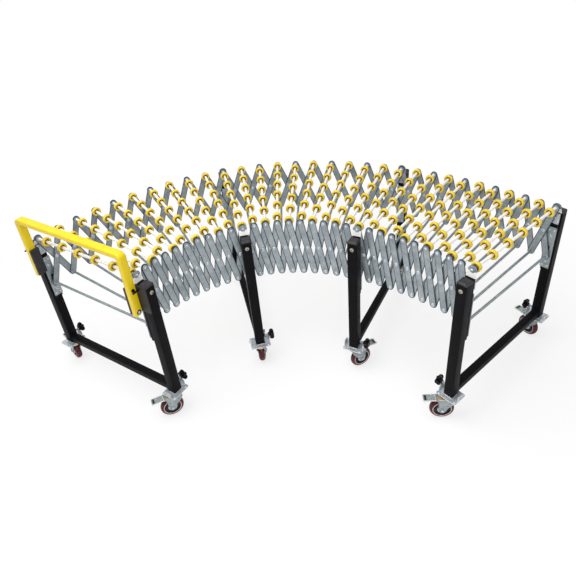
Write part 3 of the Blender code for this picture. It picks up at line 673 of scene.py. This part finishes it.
def wheel_pattern():
    """One skate wheel about Y: rounded tread, deep recess each side and its ball race."""
    bm = bmesh.new()
    half = in_mm([(24.0, 0.0), (24.0, 4.2), (23.5, 6.6), (22.2, 8.1), (20.6, 8.6), (16.6, 8.5),
                  (15.2, 7.4), (13.6, 2.4)])
    add_turned(bm, half + mirrored(half[1:]), 20, ON_SIDE, closed=True, finish=WHEEL_YELLOW)
    # The ball race is dark brown: painted shade of the wheel's deep recess.
    race = in_mm([(13.7, 2.2), (11.4, 2.8), (9.8, 2.2), (9.4, 3.6), (7.6, 3.6)])
    add_turned(bm, race + mirrored(race), 16, ON_SIDE, closed=True, finish=HUB_SHADE)
    return new_pattern("skate_wheel", bm)


def end_nut_pattern():
    """A washer, nut and axle end outside the lattice, with Z outwards."""
    bm = bmesh.new()
    add_turned(bm, in_mm([(14.0, 0), (13.6, 1.0), (12.6, 1.6), (9.0, 1.8)]), 18, finish=STRIP)
    add_hex(bm, 15, 1.6, 5.0, IDENTITY)
    add_dome(bm, 6.0, 4.6, 3.2, IDENTITY)
    return new_pattern("axle_end", bm)


def rivet_pattern():
    """A set rivet's wide low head in its pressed collar, with Z outwards."""
    bm = bmesh.new()
    add_turned(bm, in_mm([(13.2, 0), (13.0, 0.5), (11.6, 0.9), (10.4, 0.7)]), 14, finish=STRIP)
    add_dome(bm, 10.6, 0.4, 4.2, IDENTITY, sides=14)
    return new_pattern("rivet_head", bm)


def link_pattern():
    """A flat scissor link along X with full round ends and rolled edges, and Z outwards."""
    bm = bmesh.new()
    half = LINK_LENGTH / 2
    radius = LINK_WIDTH / 2
    outline = []
    steps = 8
    for end in (1, -1):
        for step in range(steps + 1):
            angle = -end * QUARTER + pi * step / steps
            outline.append(polar(radius, angle, (end * half, 0)))
    levels = in_mm([(8.0, -2.0), (3.4, -1.8), (1.2, -1.3), (0, -0.4), (0, 0.4), (1.2, 1.3),
                    (3.4, 1.8), (8.0, 2.0)])
    # The edge bands carry the dark painted shade outline.
    add_skin(bm, rings_of(outline, levels), bands=[STRIP] + [EDGE_SHADE] * 5 + [STRIP])
    return new_pattern("scissor_link", bm)


def spacer_pattern():
    """The washer between two crossing links, with Z outwards."""
    bm = bmesh.new()
    add_turned(bm, in_mm([(11, -1), (11, 1)]), 12, finish=RIVET)
    return new_pattern("link_washer", bm)


def link_frame(start, end, side):
    """A link's frame: X along it, Z outwards from the bed, origin halfway along it."""
    run = (end - start).normalized()
    level = Vector((run.x, run.y, 0)).normalized()
    outer = side * Vector((-level.y, level.x, 0))
    turned = Matrix((run, outer.cross(run), outer)).transposed().to_4x4()
    return Matrix.Translation((start + end) / 2) @ turned


def make_links(link, rivet, spacer):
    """Each cell's two crossing links on each side, between their two stations."""
    for side_name, side in SIDES:
        tops = [side_point(axle, side, AXLE_HEIGHT) for axle in range(CELLS + 1)]
        feet = [side_point(axle, side, bottom_height(axle, side)) for axle in range(CELLS + 1)]
        for cell in range(CELLS):
            bm = bmesh.new()
            following = cell + 1
            places = []
            for start, end, layer in ((tops[cell], feet[following], 1),
                                      (feet[cell], tops[following], -1)):
                place = link_frame(start, end, side) @ shift(0, 0, layer * LAYER_OFFSET)
                size = (end - start).length / LINK_LENGTH
                places.append(place @ Matrix.Diagonal((size, 1, 1, 1)))
            set_out(bm, link, places)
            drops = [AXLE_HEIGHT - feet[cell].z, AXLE_HEIGHT - feet[following].z]
            crossing = tops[cell].lerp(feet[following], drops[0] / sum(drops))
            turned = link_frame(tops[cell], feet[following], side).to_3x3().to_4x4()
            middle = Matrix.Translation(crossing) @ turned
            heads = [middle @ shift(0, 0, LATTICE_HALF),
                     middle @ shift(0, 0, -LATTICE_HALF) @ Matrix.Rotation(pi, 4, "X")]
            set_out(bm, rivet, heads)
            set_out(bm, spacer, [middle])
            new_piece(f"links_{side_name}_{cell:02d}", bm, None,
                      ["scissor_lattice"],
                      blend=(f"station_{cell:02d}", f"station_{following:02d}",
                             tops[cell], tops[following]))


def row_meshes(wheel):
    """The two staggered rows of wheels, whose first wheel is at the near or the far end."""
    shape, used = wheel
    end_wheel = GAUGE / 2 - END_WHEEL_INSET
    rows = []
    for direction in (1, -1):
        inputs = {"Wheel": shape, "Wheel Count": WHEEL_COUNT,
                  "Wheel Spacing": direction * WHEEL_SPACING,
                  "First Wheel": -direction * end_wheel, "Axle Height": AXLE_HEIGHT}
        rows.append(grow(bpy.data.meshes.new("row"), WHEEL_ROW_TREE, inputs, used))
    return rows


def outwards(station, y, pivots):
    """Frames on both sides, y out from the middle, at each side's height."""
    return [station @ across(side, y, height) for side, height in pivots]


def make_rows(rows, end_nut, rivet, spacer):
    """Wheels, axle, spacer tubes, end nuts and the bottom rod of each station."""
    for axle in range(CELLS + 1):
        station = STATIONS[axle]
        body = f"station_{axle:02d}"
        framed = axle in FRAME_AXLES.values()

        bm = bmesh.new()
        add_mesh(bm, rows[axle % 2], station)
        replaced = [f"wheel_row_{axle:02d}"] if axle else []
        new_piece(f"skate_wheels_{axle:02d}", bm, body, replaced)

        bm = bmesh.new()
        profile = [(6.6 * MM, -ROW_HALF), (7.6 * MM, -ROW_HALF + MM),
                   (7.6 * MM, ROW_HALF - MM), (6.6 * MM, ROW_HALF)]
        add_turned(bm, profile, 16, station @ across(1, 0, AXLE_HEIGHT), finish=TUBE_AND_HIGHLIGHT)
        new_piece(f"axle_tube_{axle:02d}", bm, body)

        bm = bmesh.new()
        nut_y = RAIL_INNER + 0.2 * MM if framed else LATTICE_FACE
        tops = [(side, AXLE_HEIGHT) for side in BOTH]
        for side, height in tops:
            ends = [station @ Vector((0, side * y, height))
                    for y in (ROW_HALF - MM, nut_y + 2 * MM)]
            add_bar(bm, ends, 5, 10, RIVET)
        set_out(bm, end_nut, outwards(station, nut_y, tops))
        set_out(bm, spacer, outwards(station, GAUGE / 2, tops))
        new_piece(f"axle_ends_{axle:02d}", bm, body)

        bm = bmesh.new()
        reach = RAIL_INNER + 3 * MM if framed else LATTICE_FACE
        feet = [(side, bottom_height(axle, side)) for side in BOTH]
        ends = [station @ Vector((0, side * reach, height)) for side, height in feet]
        add_bar(bm, ends, 6.6, 14, FORK)
        if not framed:
            set_out(bm, rivet, outwards(station, LATTICE_FACE, feet))
        set_out(bm, spacer, outwards(station, GAUGE / 2, feet))
        new_piece(f"bottom_rod_{axle:02d}", bm, body, ["scissor_lattice"])


# The leg frames

WELD_ANGLES = [QUARTER * step / 3 for step in range(4)]
LEG_OUTLINE = rounded_rectangle(LEG_TUBE, LEG_TUBE, 4 * MM)


def leg_place(station, side):
    return station @ shift(0, side * LEG_ACROSS, 0)


def make_leg_tubes(number, station, body):
    """Two square legs, their welded cross bar and the guide rails on their inner faces."""
    bm = bmesh.new()
    rail_outline = rounded_rectangle(RAIL_WIDTH, TUBE_INNER - RAIL_INNER + 0.2 * MM, 2 * MM, 2)
    for side in BOTH:
        add_tube(bm, LEG_OUTLINE, LEG_BOTTOM, LEG_TOP - CAP_DEPTH, LEG_WALL,
                 leg_place(station, side))
        rail = station @ shift(0, side * (RAIL_INNER + TUBE_INNER) / 2, 0)
        add_tube(bm, rail_outline, RAIL_BOTTOM, LEG_TOP - 5 * MM, 2 * MM, rail)
    new_piece(f"leg_tubes_{number}", bm, body, [f"leg_frame_{number}"])

    bm = bmesh.new()
    middle = LEG_BOTTOM + CROSS_BAR / 2
    overlap = TUBE_INNER + 0.2 * MM
    outline = rounded_rectangle(CROSS_BAR, CROSS_BAR - 0.4 * MM, 4 * MM)
    add_prism(bm, outline, -overlap, overlap, station @ across(1, 0, middle), 0.1 * MM, BLACK)
    size = 2.6 * MM
    bead = [(-size * (1 - cos(a)), size * sin(a)) for a in WELD_ANGLES]
    bead.append((0.3 * MM, size))
    for side in BOTH:
        weld = station @ across(side, TUBE_INNER - 2.4 * MM, middle)
        add_skin(bm, rings_of(inset(outline, -0.2 * MM), bead, weld), closed=True, finish=BLACK)
    new_piece(f"cross_bar_{number}", bm, body)


def make_leg_caps(number, station, body):
    """Moulded caps pressed into the leg tops, with a thin lip and bevelled sides."""
    bm = bmesh.new()
    levels = in_mm([(0.2, -12), (0, -11.4), (0, -5.5), (0.7, -4.6), (4.6, -0.6), (5.6, 0)],
                   LEG_TOP)
    for side in BOTH:
        add_skin(bm, rings_of(LEG_OUTLINE, levels, leg_place(station, side)), finish=CAP_AND_SHADE)
    new_piece(f"leg_caps_{number}", bm, body, smooth=25)


def add_ear(bm, station, side):
    """The plate over a leg: upright and round where it holds the axle, leaning out below."""
    half = 23.5 * MM
    levels = [(-33.0, 8.6, half), (-31.5, 8.2, half), (-8.0, 0.6, half * 0.93),
              (-5.5, 0.0, half * 0.92)]
    for angle in range(0, 90, 15):
        turn = radians(angle)
        levels.append((20 * sin(turn), 0.0, max(21.5 * MM * cos(turn), 4 * MM)))
    levels.append((20.0, 0.0, 2.5 * MM))
    rings = []
    for rise, lean, reach in levels:
        face = PLATE_INNER + EAR_THICKNESS + lean * MM
        back = face - EAR_THICKNESS
        corners = ((-reach, back), (reach, back), (reach, face), (-reach, face))
        rings.append([station @ Vector((x, side * y, AXLE_HEIGHT + rise * MM))
                      for x, y in corners])
    # The lower, leaning part is near-white as a painted highlight. The upper round part is in the
    # duller fork zinc.
    add_skin(bm, rings, bands=[TUBE_AND_HIGHLIGHT] * 3 + [FORK] * (len(rings) - 4))


def make_bed_plates(number, station, body, rivet):
    """Ear plates that carry the axle and slotted brackets that guide the bottom rod."""
    bm = bmesh.new()
    strap = rounded_rectangle(BRACKET_WIDTH, 0.060, 3 * MM, 4, (0, STRAP_MIDDLE))
    outer = rounded_rectangle(BRACKET_WIDTH, BRACKET_TOP - BRACKET_BOTTOM, 4 * MM, 6,
                              (0, (BRACKET_TOP + BRACKET_BOTTOM) / 2))
    slot = rounded_rectangle(0.015, 0.080, 7.4 * MM, 6, (0, SLOT_MIDDLE))
    rivets = []
    for side in BOTH:
        add_ear(bm, station, side)
        plate = upright(station, side * PLATE_INNER)
        low, high = outer_span(side, PLATE_THICKNESS)
        add_prism(bm, strap, low, high, plate, 0.6 * MM, ZINC)
        rings = [[plate @ Vector((x, y, z)) for x, y in ring]
                 for ring, z in ((outer, low), (outer, high), (slot, high), (slot, low))]
        # The slot's inner wall takes the dark painted shade edge.
        add_skin(bm, rings, closed=True, bands=[STRIP, STRIP, EDGE_SHADE, STRIP])
        for x, drop in ((0, 0.062), (0, 0.083), (-0.013, 0.136), (0.013, 0.136), (0, 0.170),
                        (-0.013, 0.352), (0.013, 0.352), (0, 0.328)):
            inwards = across(-side, -PLATE_INNER, AXLE_HEIGHT - drop, x)
            rivets.append(station @ inwards @ Matrix.Diagonal((0.6, 0.6, 0.5, 1)))
    set_out(bm, rivet, rivets)
    new_piece(f"bed_plates_{number}", bm, body)


def add_star_knob(bm, place):
    """A lobed clamping knob on a threaded stud, with Z away from the leg."""
    add_turned(bm, in_mm([(9, -0.2), (9, 4), (8, 5)]), 18, place, finish=BLACK)
    thread = [(5.6 if step % 2 else 4.9, 4 + step * 0.8) for step in range(36)]
    add_turned(bm, in_mm(thread), 14, place, finish=RIVET)
    lobes = 5
    count = 60
    angles = [tau * step / count for step in range(count)]
    rings = []
    for radius, depth, height in ((9, 0, 26.0), (11, 0, 27.0), (12, 0, 34.0), (23.0, 4.2, 35.0),
                                  (27.4, 6.8, 37.6), (29.8, 8.0, 41.6), (29.8, 8.0, 49.0),
                                  (27.4, 6.8, 54.0), (22.6, 4.2, 57.0), (12.6, 0.8, 58.6),
                                  (7.0, 0, 57.2), (3.0, 0, 57.0)):
        ring = []
        for angle in angles:
            wave = cos(lobes * angle)
            reach = radius - depth * (1 - wave) / 2 * (1.5 - 0.5 * wave)
            ring.append(place @ Vector((reach * cos(angle) * MM,
                                        reach * sin(angle) * MM, height * MM)))
        rings.append(ring)
    add_skin(bm, rings, finish=KNOB)


def make_knobs(number, station, body):
    """A knob on each leg, along the bed, which the last frame turns the other way."""
    along = -1 if number == len(FRAME_AXLES) else 1
    for side_name, side in SIDES:
        bm = bmesh.new()
        at = (along * (LEG_TUBE / 2), side * LEG_ACROSS, KNOB_HEIGHT)
        add_star_knob(bm, station @ facing((along, 0, 0), at))
        new_piece(f"star_knob_{side_name}_{number}", bm, body, smooth=45)


def make_leg_bolts(number, station, body):
    """The bolt through each leg near its top: washer, pan head and dark socket."""
    bm = bmesh.new()
    head = in_mm([(7.6, 1.3), (7.4, 2.8), (6.2, 4.3), (4.0, 4.8), (3.2, 4.8), (3.2, 3.0)])
    for side in BOTH:
        place = station @ across(side, LEG_ACROSS + LEG_TUBE / 2, LEG_BOLT_HEIGHT)
        add_washer(bm, 10.5, 0, 1.3, place, NICKEL)
        add_turned(bm, head, 18, place, bands=[NICKEL] * 4 + [SLOT])
    new_piece(f"leg_bolts_{number}", bm, body)


# The handle

def make_handle_mounts():
    """Black blocks on the first frame's legs, with the pivot bolts that the handle turns on."""
    station = STATIONS[0]
    lug_outer = HANDLE_Y - HANDLE_DEPTH / 2 - MM
    lug_inner = lug_outer - 12 * MM
    web_end = LEG_ACROSS + 22.5 * MM
    root = -LEG_TUBE / 2
    web_face = root - 6 * MM
    lug_end = HANDLE_X - HANDLE_WIDTH / 2
    corners = [(root, lug_inner), (root, web_end), (web_face, web_end), (web_face, lug_outer),
               (lug_end, lug_outer), (lug_end, lug_inner)]
    bm = bmesh.new()
    for side in BOTH:
        outline = [(x, side * y) for x, y in corners]
        add_prism(bm, outline, BLOCK_BOTTOM, BLOCK_TOP, station, MM, CAP_AND_SHADE)
    new_piece("handle_blocks", bm, "station_00", smooth=30)

    bm = bmesh.new()
    shank = HANDLE_DEPTH + 9 * MM
    for side in BOTH:
        place = station @ across(side, lug_outer - 6 * MM, PIVOT_HEIGHT, HANDLE_X)
        add_turned(bm, [(5.8 * MM, 0), (5.8 * MM, shank)], 16, place, finish=RIVET)
        head = place @ shift(0, 0, shank - MM)
        add_turned(bm, in_mm([(12, 0), (12, 1.2), (11, 1.8)]), 20, head, finish=SLOT)
        add_dome(bm, 7.5, 1.6, 4.4, head, sides=16)
    new_piece("handle_pivot_bolts", bm, "station_00")


def handle_path():
    """The loop from one lower end to the other: its middle, outward way and back edge."""
    half = HANDLE_WIDTH / 2
    bend_height = HANDLE_TOP - PIVOT_HEIGHT - HANDLE_BEND
    ends = [(-drop * MM, sqrt(half * half - (drop * MM) ** 2))
            for drop in (19.5, 18.6, 16.6, 13.0, 8.0, 0.0)]
    path = [(Vector((0, -HANDLE_Y, z)), Vector((0, -1, 0)), back) for z, back in ends]
    for side in BOTH:
        centre = Vector((0, side * (HANDLE_Y - HANDLE_BEND), bend_height))
        for step in range(7) if side < 0 else range(6, -1, -1):
            angle = QUARTER * step / 6
            way = Vector((0, side * cos(angle), sin(angle)))
            path.append((centre + HANDLE_BEND * way, way, half))
    path += [(Vector((0, HANDLE_Y, z)), Vector((0, 1, 0)), back) for z, back in reversed(ends)]
    return path


def make_handle():
    """The yellow loop: square-cornered tube with tight bends and round-backed lower ends."""
    station = STATIONS[0] @ shift(HANDLE_X, 0, PIVOT_HEIGHT)
    half = HANDLE_WIDTH / 2
    section = rounded_rectangle(HANDLE_WIDTH, HANDLE_DEPTH, 3.2 * MM)
    rings = []
    for middle, way, back in handle_path():
        ring = []
        for x, y in section:
            along = -half + (x + half) * (back + half) / HANDLE_WIDTH
            ring.append(station @ (middle + Vector((along, 0, 0)) + way * y))
        rings.append(ring)
    bm = bmesh.new()
    add_skin(bm, rings, finish=HANDLE)
    new_piece("pull_handle", bm, "handle", ["handle"], smooth=30)

    bm = bmesh.new()
    collar = in_mm([(8.5, -0.3), (8.5, 2.2), (7.6, 3.0), (5.2, 3.4), (5.2, 9.0), (4.0, 9.4),
                    (4.0, 18.0)])
    for side in BOTH:
        lock = station @ across(side, HANDLE_Y + HANDLE_DEPTH / 2, LOCK_PIN_HEIGHT - PIVOT_HEIGHT)
        add_turned(bm, collar, 18, lock, finish=KNOB)
        ends = [lock @ Vector((end * 18 * MM, 0, 19.5 * MM)) for end in BOTH]
        add_bar(bm, ends, 4.5, 14, KNOB)
    new_piece("lock_pins", bm, "handle", smooth=40)


# The casters

POST_OUTLINE = rounded_rectangle(POST_SIZE, POST_SIZE, 3 * MM)


def make_post(tag, body, place):
    """The square post inside the leg, and the caster's top plate with its upturned tabs."""
    bm = bmesh.new()
    add_tube(bm, POST_OUTLINE, POST_TOP, PLATE_TOP - 0.2 * MM, 2 * MM, place, ZINC)
    new_piece(f"height_post_{tag}", bm, body)

    bm = bmesh.new()
    outline = rounded_rectangle(PLATE_LENGTH, PLATE_WIDTH, 9 * MM, 4)
    add_prism(bm, outline, PLATE_BOTTOM, PLATE_TOP, place, 0.8 * MM, ZINC)
    rounding = rounded_rectangle(0.040, 0.060, 9 * MM, 4)
    tab_outline = [(x, max(y, 0)) for x, y in rounding[:10]] + [(-0.020, 0), (0.020, 0)]
    for end in BOTH:
        at = Vector((end * (PLATE_LENGTH / 2 - PLATE_THICKNESS), 0, PLATE_TOP - MM))
        tab = place @ Matrix.Translation(at) @ Matrix.Rotation(QUARTER, 4, "Z")
        tab = tab @ Matrix.Rotation(QUARTER, 4, "X")
        add_prism(bm, tab_outline, *outer_span(-end, PLATE_THICKNESS), tab, 0.5 * MM, ZINC)
        bolt = place @ facing((end, 0, 0), (end * PLATE_LENGTH / 2, 0, PLATE_TOP + 14 * MM))
        add_washer(bm, 8.5, -0.2, 1.4, bolt, ZINC)
        add_hex(bm, 11, 1.2, 6, bolt)
        for side in BOTH:
            corner = place @ shift(end * 0.042, side * 0.034, PLATE_TOP)
            add_hex(bm, 10, -0.2, 4.6, corner)
            add_washer(bm, 7.5, -0.2, 0.9, corner, ZINC)
    size = 2.4 * MM
    fillet = [(-size * (1 - sin(a)) - 0.01 * MM, size * (1 - cos(a)))
              for a in WELD_ANGLES]
    fillet.append((0.4 * MM, -0.3 * MM))
    weld = place @ shift(0, 0, PLATE_TOP)
    add_skin(bm, rings_of(POST_OUTLINE, fillet, weld), closed=True, finish=ZINC)
    new_piece(f"caster_plate_{tag}", bm, body, [f"leg_post_{tag}"])


def fork_outline():
    """A side plate in X and Z: wide at the crown, tapering in soft curves to the axle."""
    top = CROWN_TOP - MM
    shoulder = top - 15 * MM
    back = -26 * MM
    tail_radius = 17 * MM
    points = [(back, top), (back, shoulder)]
    for share in (0.2, 0.4, 0.6, 0.8):
        ease = share * share * (3 - 2 * share)
        x = back + (CASTER_TRAIL - tail_radius - back) * (0.45 * share + 0.55 * ease)
        points.append((x, shoulder + (WHEEL_AXLE_HEIGHT - shoulder) * share))
    for step in range(7):
        angle = pi + pi * step / 6
        points.append(polar(tail_radius, angle, (CASTER_TRAIL, WHEEL_AXLE_HEIGHT)))
    points += [(57 * MM, top - 26 * MM), (60 * MM, top - 17 * MM), (60 * MM, top)]
    return points


def make_fork(tag, body, place):
    """Swivel races, crown, side plates and the wheel's axle bolt."""
    bm = bmesh.new()
    race_top = PLATE_BOTTOM - 0.3 * MM
    upper = in_mm([(24, 0), (28.5, 0), (29, -1.2), (29, -5.2), (27.6, -6.6), (24, -6.6)], race_top)
    gap = in_mm([(26.5, -9.4), (26.5, -6.4)], race_top)
    lower = in_mm([(20, -8.6), (29.6, -8.6), (31, -10), (31, -14.4), (29.4, -19), (26.6, -26),
                   (25.6, -29), (20, -29)], race_top)
    add_turned(bm, upper, 32, place, closed=True, finish=ZINC)
    add_turned(bm, gap, 28, place, finish=SLOT)
    add_turned(bm, lower, 32, place, closed=True, finish=RACE)
    new_piece(f"swivel_race_{tag}", bm, body, smooth=50)

    bm = bmesh.new()
    outline = rounded_rectangle(0.086, 0.0478, 8 * MM, 4, (0.017, 0))
    add_prism(bm, outline, CROWN_TOP - 6 * MM, CROWN_TOP - 0.2 * MM, place, 1.2 * MM, RACE)
    for side in BOTH:
        plate = upright(place, side * FORK_INNER)
        span = outer_span(side, PLATE_THICKNESS)
        add_prism(bm, fork_outline(), *span, plate, 0.8 * MM, FORK)
    new_piece(f"caster_fork_plates_{tag}", bm, body, [f"caster_fork_{tag}"])

    bm = bmesh.new()
    for side in BOTH:
        end = place @ across(side, FORK_INNER + PLATE_THICKNESS, WHEEL_AXLE_HEIGHT, CASTER_TRAIL)
        add_washer(bm, 9.5, -0.2, 1.2, end, FORK)
        add_hex(bm, 13, 1, 5, end, ZINC)
        add_dome(bm, 3.9, 4.8, 1.6, end, ZINC)
    ends = [place @ Vector((CASTER_TRAIL, side * 0.0205, WHEEL_AXLE_HEIGHT)) for side in BOTH]
    add_bar(bm, ends, 5.2, 12, ZINC)
    new_piece(f"axle_bolt_{tag}", bm, body)


def make_pedal(tag, body, place):
    """A pressed brake pedal that leans down and out: a short arm, a wide tongue and a slot."""
    run = PEDAL_TIP - PEDAL_START
    pedal = place @ Matrix.Translation(PEDAL_START)
    pedal = pedal @ Matrix.Rotation(-atan2(run.z, run.x), 4, "Y")
    length = run.length
    half = 23 * MM
    arm = 18 * MM
    corner = 5 * MM
    outline = [(0, -arm), (0.030, -arm), (0.050, -half), (length - corner, -half),
               (length, -half + corner), (length, half - corner), (length - corner, half),
               (0.050, half), (0.030, arm), (0, arm)]
    bm = bmesh.new()
    add_prism(bm, outline, -1.5 * MM, 1.2 * MM, pedal, 0.7 * MM, FORK)
    tongue = [(x, y) for x, y in outline if x > 0.040]
    lip = in_mm([(0.3, 1), (0.9, 3.4), (2.4, 3.4), (3.2, 1)])
    # The lip round the tongue is near-white: a painted highlight along the pedal's edge.
    add_skin(bm, rings_of(tongue, lip, pedal), closed=True, finish=TUBE_AND_HIGHLIGHT)
    flange = [(0.010, -MM), (0.010, -11 * MM), (0.040, -10 * MM), (length - 0.030, -5 * MM),
              (length - 0.012, -MM)]
    for side in BOTH:
        wall = upright(pedal, side * 16.4 * MM)
        add_prism(bm, flange, -1.2 * MM, 1.2 * MM, wall, 0.4 * MM, ZINC)
    # The slot is a thin dark sheet on the tongue: painted shade, not a hole.
    slot = rounded_rectangle(0.010, 0.032, 3 * MM, 3, (length - 0.013, 0))
    add_prism(bm, slot, MM, 1.5 * MM, pedal, 0.1 * MM, SLOT)
    for step in range(4):
        rib = rounded_rectangle(0.0018, 0.030, 0.8 * MM, 2, (0.058 + step * 8 * MM, 0))
        add_prism(bm, rib, MM, 1.8 * MM, pedal, 0.3 * MM, ZINC)
    hinge = pedal @ shift(0.028, 0, -5 * MM)
    add_bar(bm, [hinge @ Vector((0, side * 17 * MM, 0)) for side in BOTH], 3, 12, RIVET)
    new_piece(f"brake_pedal_{tag}", bm, body)


def make_caster_wheel(tag, body, place):
    """Red tread round a pale moulded core, with a recessed web and its bearing."""
    bm = bmesh.new()
    radius = WHEEL_AXLE_HEIGHT / MM
    # The web between core and hub is dark grey: painted shade in the wheel's recess.
    half = [(radius, 0, TREAD), (radius - 0.4, 4.5, TREAD), (radius - 1.7, 8.5, TREAD),
            (radius - 4.2, 12.2, TREAD), (radius - 8.0, 15.4, TREAD), (49.0, 16.8, TREAD),
            (47.6, 16.0, TREAD), (47.0, 16.6, RIM), (43.6, 16.6, RIM), (42.4, 14.6, RIM),
            (41.0, 7.0, CAP_AND_SHADE), (29.0, 6.0, CAP_AND_SHADE), (25.0, 9.0, CAP_AND_SHADE), (24.2, 14.6, FORK),
            (22.8, 16.0, FORK), (11.5, 16.6, ZINC), (11.0, 15.4, SLOT), (8.6, 15.4, RIVET),
            (6.0, 16.8, RIVET)]
    profile = in_mm([(r, y) for r, y, _ in half])
    bands = [finish for _, _, finish in half[1:]]
    turned = place @ ON_SIDE
    add_turned(bm, profile + mirrored(profile[1:]), 48, turned, closed=True,
               bands=bands + [ZINC] + bands[::-1])
    # The ribs on the web share its dark painted shade.
    spokes = 6
    rib = rounded_rectangle(0.018, 0.0032, 1.4 * MM, 2)
    for low, high in in_mm([(-12.5, -6), (6, 12.5)]):
        for spoke in range(spokes):
            angle = tau * spoke / spokes
            at = turned @ Matrix.Rotation(angle, 4, "Z") @ shift(0.0345, 0, 0)
            add_prism(bm, rib, low, high, at, 0.8 * MM, CAP_AND_SHADE)
    new_piece(f"caster_tread_{tag}", bm, body, [f"caster_wheel_{tag}"])


def make_casters(number, station):
    """A leg's post, and the fork, pedal and wheel turned to the caster's heading."""
    for side_name, side in SIDES:
        tag = f"{side_name}_{number}"
        leg = leg_place(station, side)
        make_post(tag, f"post_{tag}", leg)
        swivel = leg @ Matrix.Rotation(radians(CASTER_HEADINGS[side_name, number]), 4, "Z")
        make_fork(tag, f"fork_{tag}", swivel)
        make_pedal(tag, f"fork_{tag}", swivel)
        hub = swivel @ shift(CASTER_TRAIL, 0, WHEEL_AXLE_HEIGHT)
        make_caster_wheel(tag, f"wheel_{tag}", hub)


# The studio

def make_floor():
    """A pale floor that keeps a soft shadow near the conveyor and fades to white further out."""
    mesh = bpy.data.meshes.new("studio_floor")
    reach = 30
    corners = [(-reach, -reach), (reach, -reach), (reach, reach), (-reach, reach)]
    mesh.from_pydata([(x, y, -0.4 * MM) for x, y in corners], [], [(0, 1, 2, 3)])
    material, tree, shader, place = new_material(
        "matt_white_floor", Base_Color=linear("#F4F4F4"), Roughness=0.9, Specular_IOR_Level=0.1)
    glow = add_node(tree, "ShaderNodeEmission", {"Color": linear("#FFFFFF"), "Strength": 1.0})
    away = add_node(tree, "ShaderNodeVectorMath", {0: place}, operation="LENGTH")
    fade = add_node(tree, "ShaderNodeMapRange", {
        "Value": away.outputs["Value"], "From Min": 1.2, "From Max": 2.6,
        "To Min": 0.72, "To Max": 1.0}, interpolation_type="SMOOTHSTEP")
    rays = add_node(tree, "ShaderNodeLightPath")
    share = add_node(tree, "ShaderNodeMath", {
        0: rays.outputs["Is Camera Ray"], 1: fade.outputs["Result"]}, operation="MULTIPLY")
    mixed = add_node(tree, "ShaderNodeMixShader", {
        0: share.outputs[0], 1: shader.outputs[0], 2: glow.outputs[0]})
    wire(tree, tree.nodes["Material Output"], {"Surface": mixed.outputs[0]})
    mesh.materials.append(material)
    put_in_scene("studio_floor", mesh)


def make_world():
    """White for the camera, a plain level for light, and a darker horizon for reflections."""
    white = linear("#FFFFFF")
    world = bpy.data.worlds.new("studio_world")
    bpy.context.scene.world = world
    world.use_nodes = True
    tree = world.node_tree
    ambient = tree.nodes["Background"]
    wire(tree, ambient, {"Color": white, "Strength": 0.50})
    direction = add_node(tree, "ShaderNodeTexCoord").outputs["Generated"]
    height = add_node(tree, "ShaderNodeSeparateXYZ", {"Vector": direction}).outputs["Z"]
    ceiling = add_node(tree, "ShaderNodeMapRange", {
        "Value": height, "From Min": -0.1, "From Max": 0.8, "To Min": 0.40, "To Max": 1.0},
        interpolation_type="SMOOTHSTEP")
    mirror = add_node(tree, "ShaderNodeBackground", {
        "Color": white, "Strength": ceiling.outputs["Result"]})
    backdrop = add_node(tree, "ShaderNodeBackground", {"Color": white, "Strength": 1.0})
    rays = add_node(tree, "ShaderNodeLightPath")
    lit = add_node(tree, "ShaderNodeMixShader", {
        0: rays.outputs["Is Glossy Ray"], 1: ambient.outputs[0], 2: mirror.outputs[0]})
    seen = add_node(tree, "ShaderNodeMixShader", {
        0: rays.outputs["Is Camera Ray"], 1: lit.outputs[0], 2: backdrop.outputs[0]})
    wire(tree, tree.nodes["World Output"], {"Surface": seen.outputs[0]})


def add_lamp(name, place, size, power):
    """A square soft light that faces the conveyor's middle."""
    lamp = bpy.data.lights.new(name, "AREA")
    lamp.shape = "SQUARE"
    lamp.size = size
    lamp.energy = power
    middle = Vector((0, 0, 0.6))
    put_in_scene(name, lamp).matrix_world = facing(Vector(place) - middle, place)


def make_camera():
    """The photograph's viewpoint, found by fitting the bed's axle and link ends."""
    yaw, pitch, roll = (radians(a) for a in (-10.495, 32.063, -5.132))
    forward = Vector((sin(yaw) * cos(pitch), cos(yaw) * cos(pitch),
                      -sin(pitch)))
    right = Vector((cos(yaw), -sin(yaw), 0))
    up = right.cross(forward)
    across_view = cos(roll) * right + sin(roll) * up
    up_view = -sin(roll) * right + cos(roll) * up
    camera = bpy.data.cameras.new("photo_camera")
    camera.sensor_width = 36
    camera.lens = 32.563
    camera.shift_x = -0.0036
    camera.shift_y = -0.0968
    camera.clip_end = 100
    made = put_in_scene("photo_camera", camera)
    turned = Matrix((across_view, up_view, -forward)).transposed().to_4x4()
    made.matrix_world = shift(0.4309, -2.3365, 2.2471) @ turned
    bpy.context.scene.camera = made


def main():
    bpy.context.scene.view_settings.view_transform = "Standard"
    make_camera()
    make_world()
    make_floor()
    add_lamp("overhead_softbox", (-1.0, -0.8, 4.2), 3.2, 150)
    add_lamp("front_fill", (1.6, -4.2, 2.6), 2.6, 55)

    rivet = rivet_pattern()
    spacer = spacer_pattern()
    make_rows(row_meshes(wheel_pattern()), end_nut_pattern(), rivet, spacer)
    make_links(link_pattern(), rivet, spacer)
    for number, axle in FRAME_AXLES.items():
        station = STATIONS[axle]
        body = f"station_{axle:02d}"
        make_leg_tubes(number, station, body)
        make_leg_caps(number, station, body)
        make_bed_plates(number, station, body, rivet)
        make_leg_bolts(number, station, body)
        make_knobs(number, station, body)
        make_casters(number, station)
    make_handle_mounts()
    make_handle()
    for pattern in PATTERNS:
        bpy.data.objects.remove(pattern)


main()
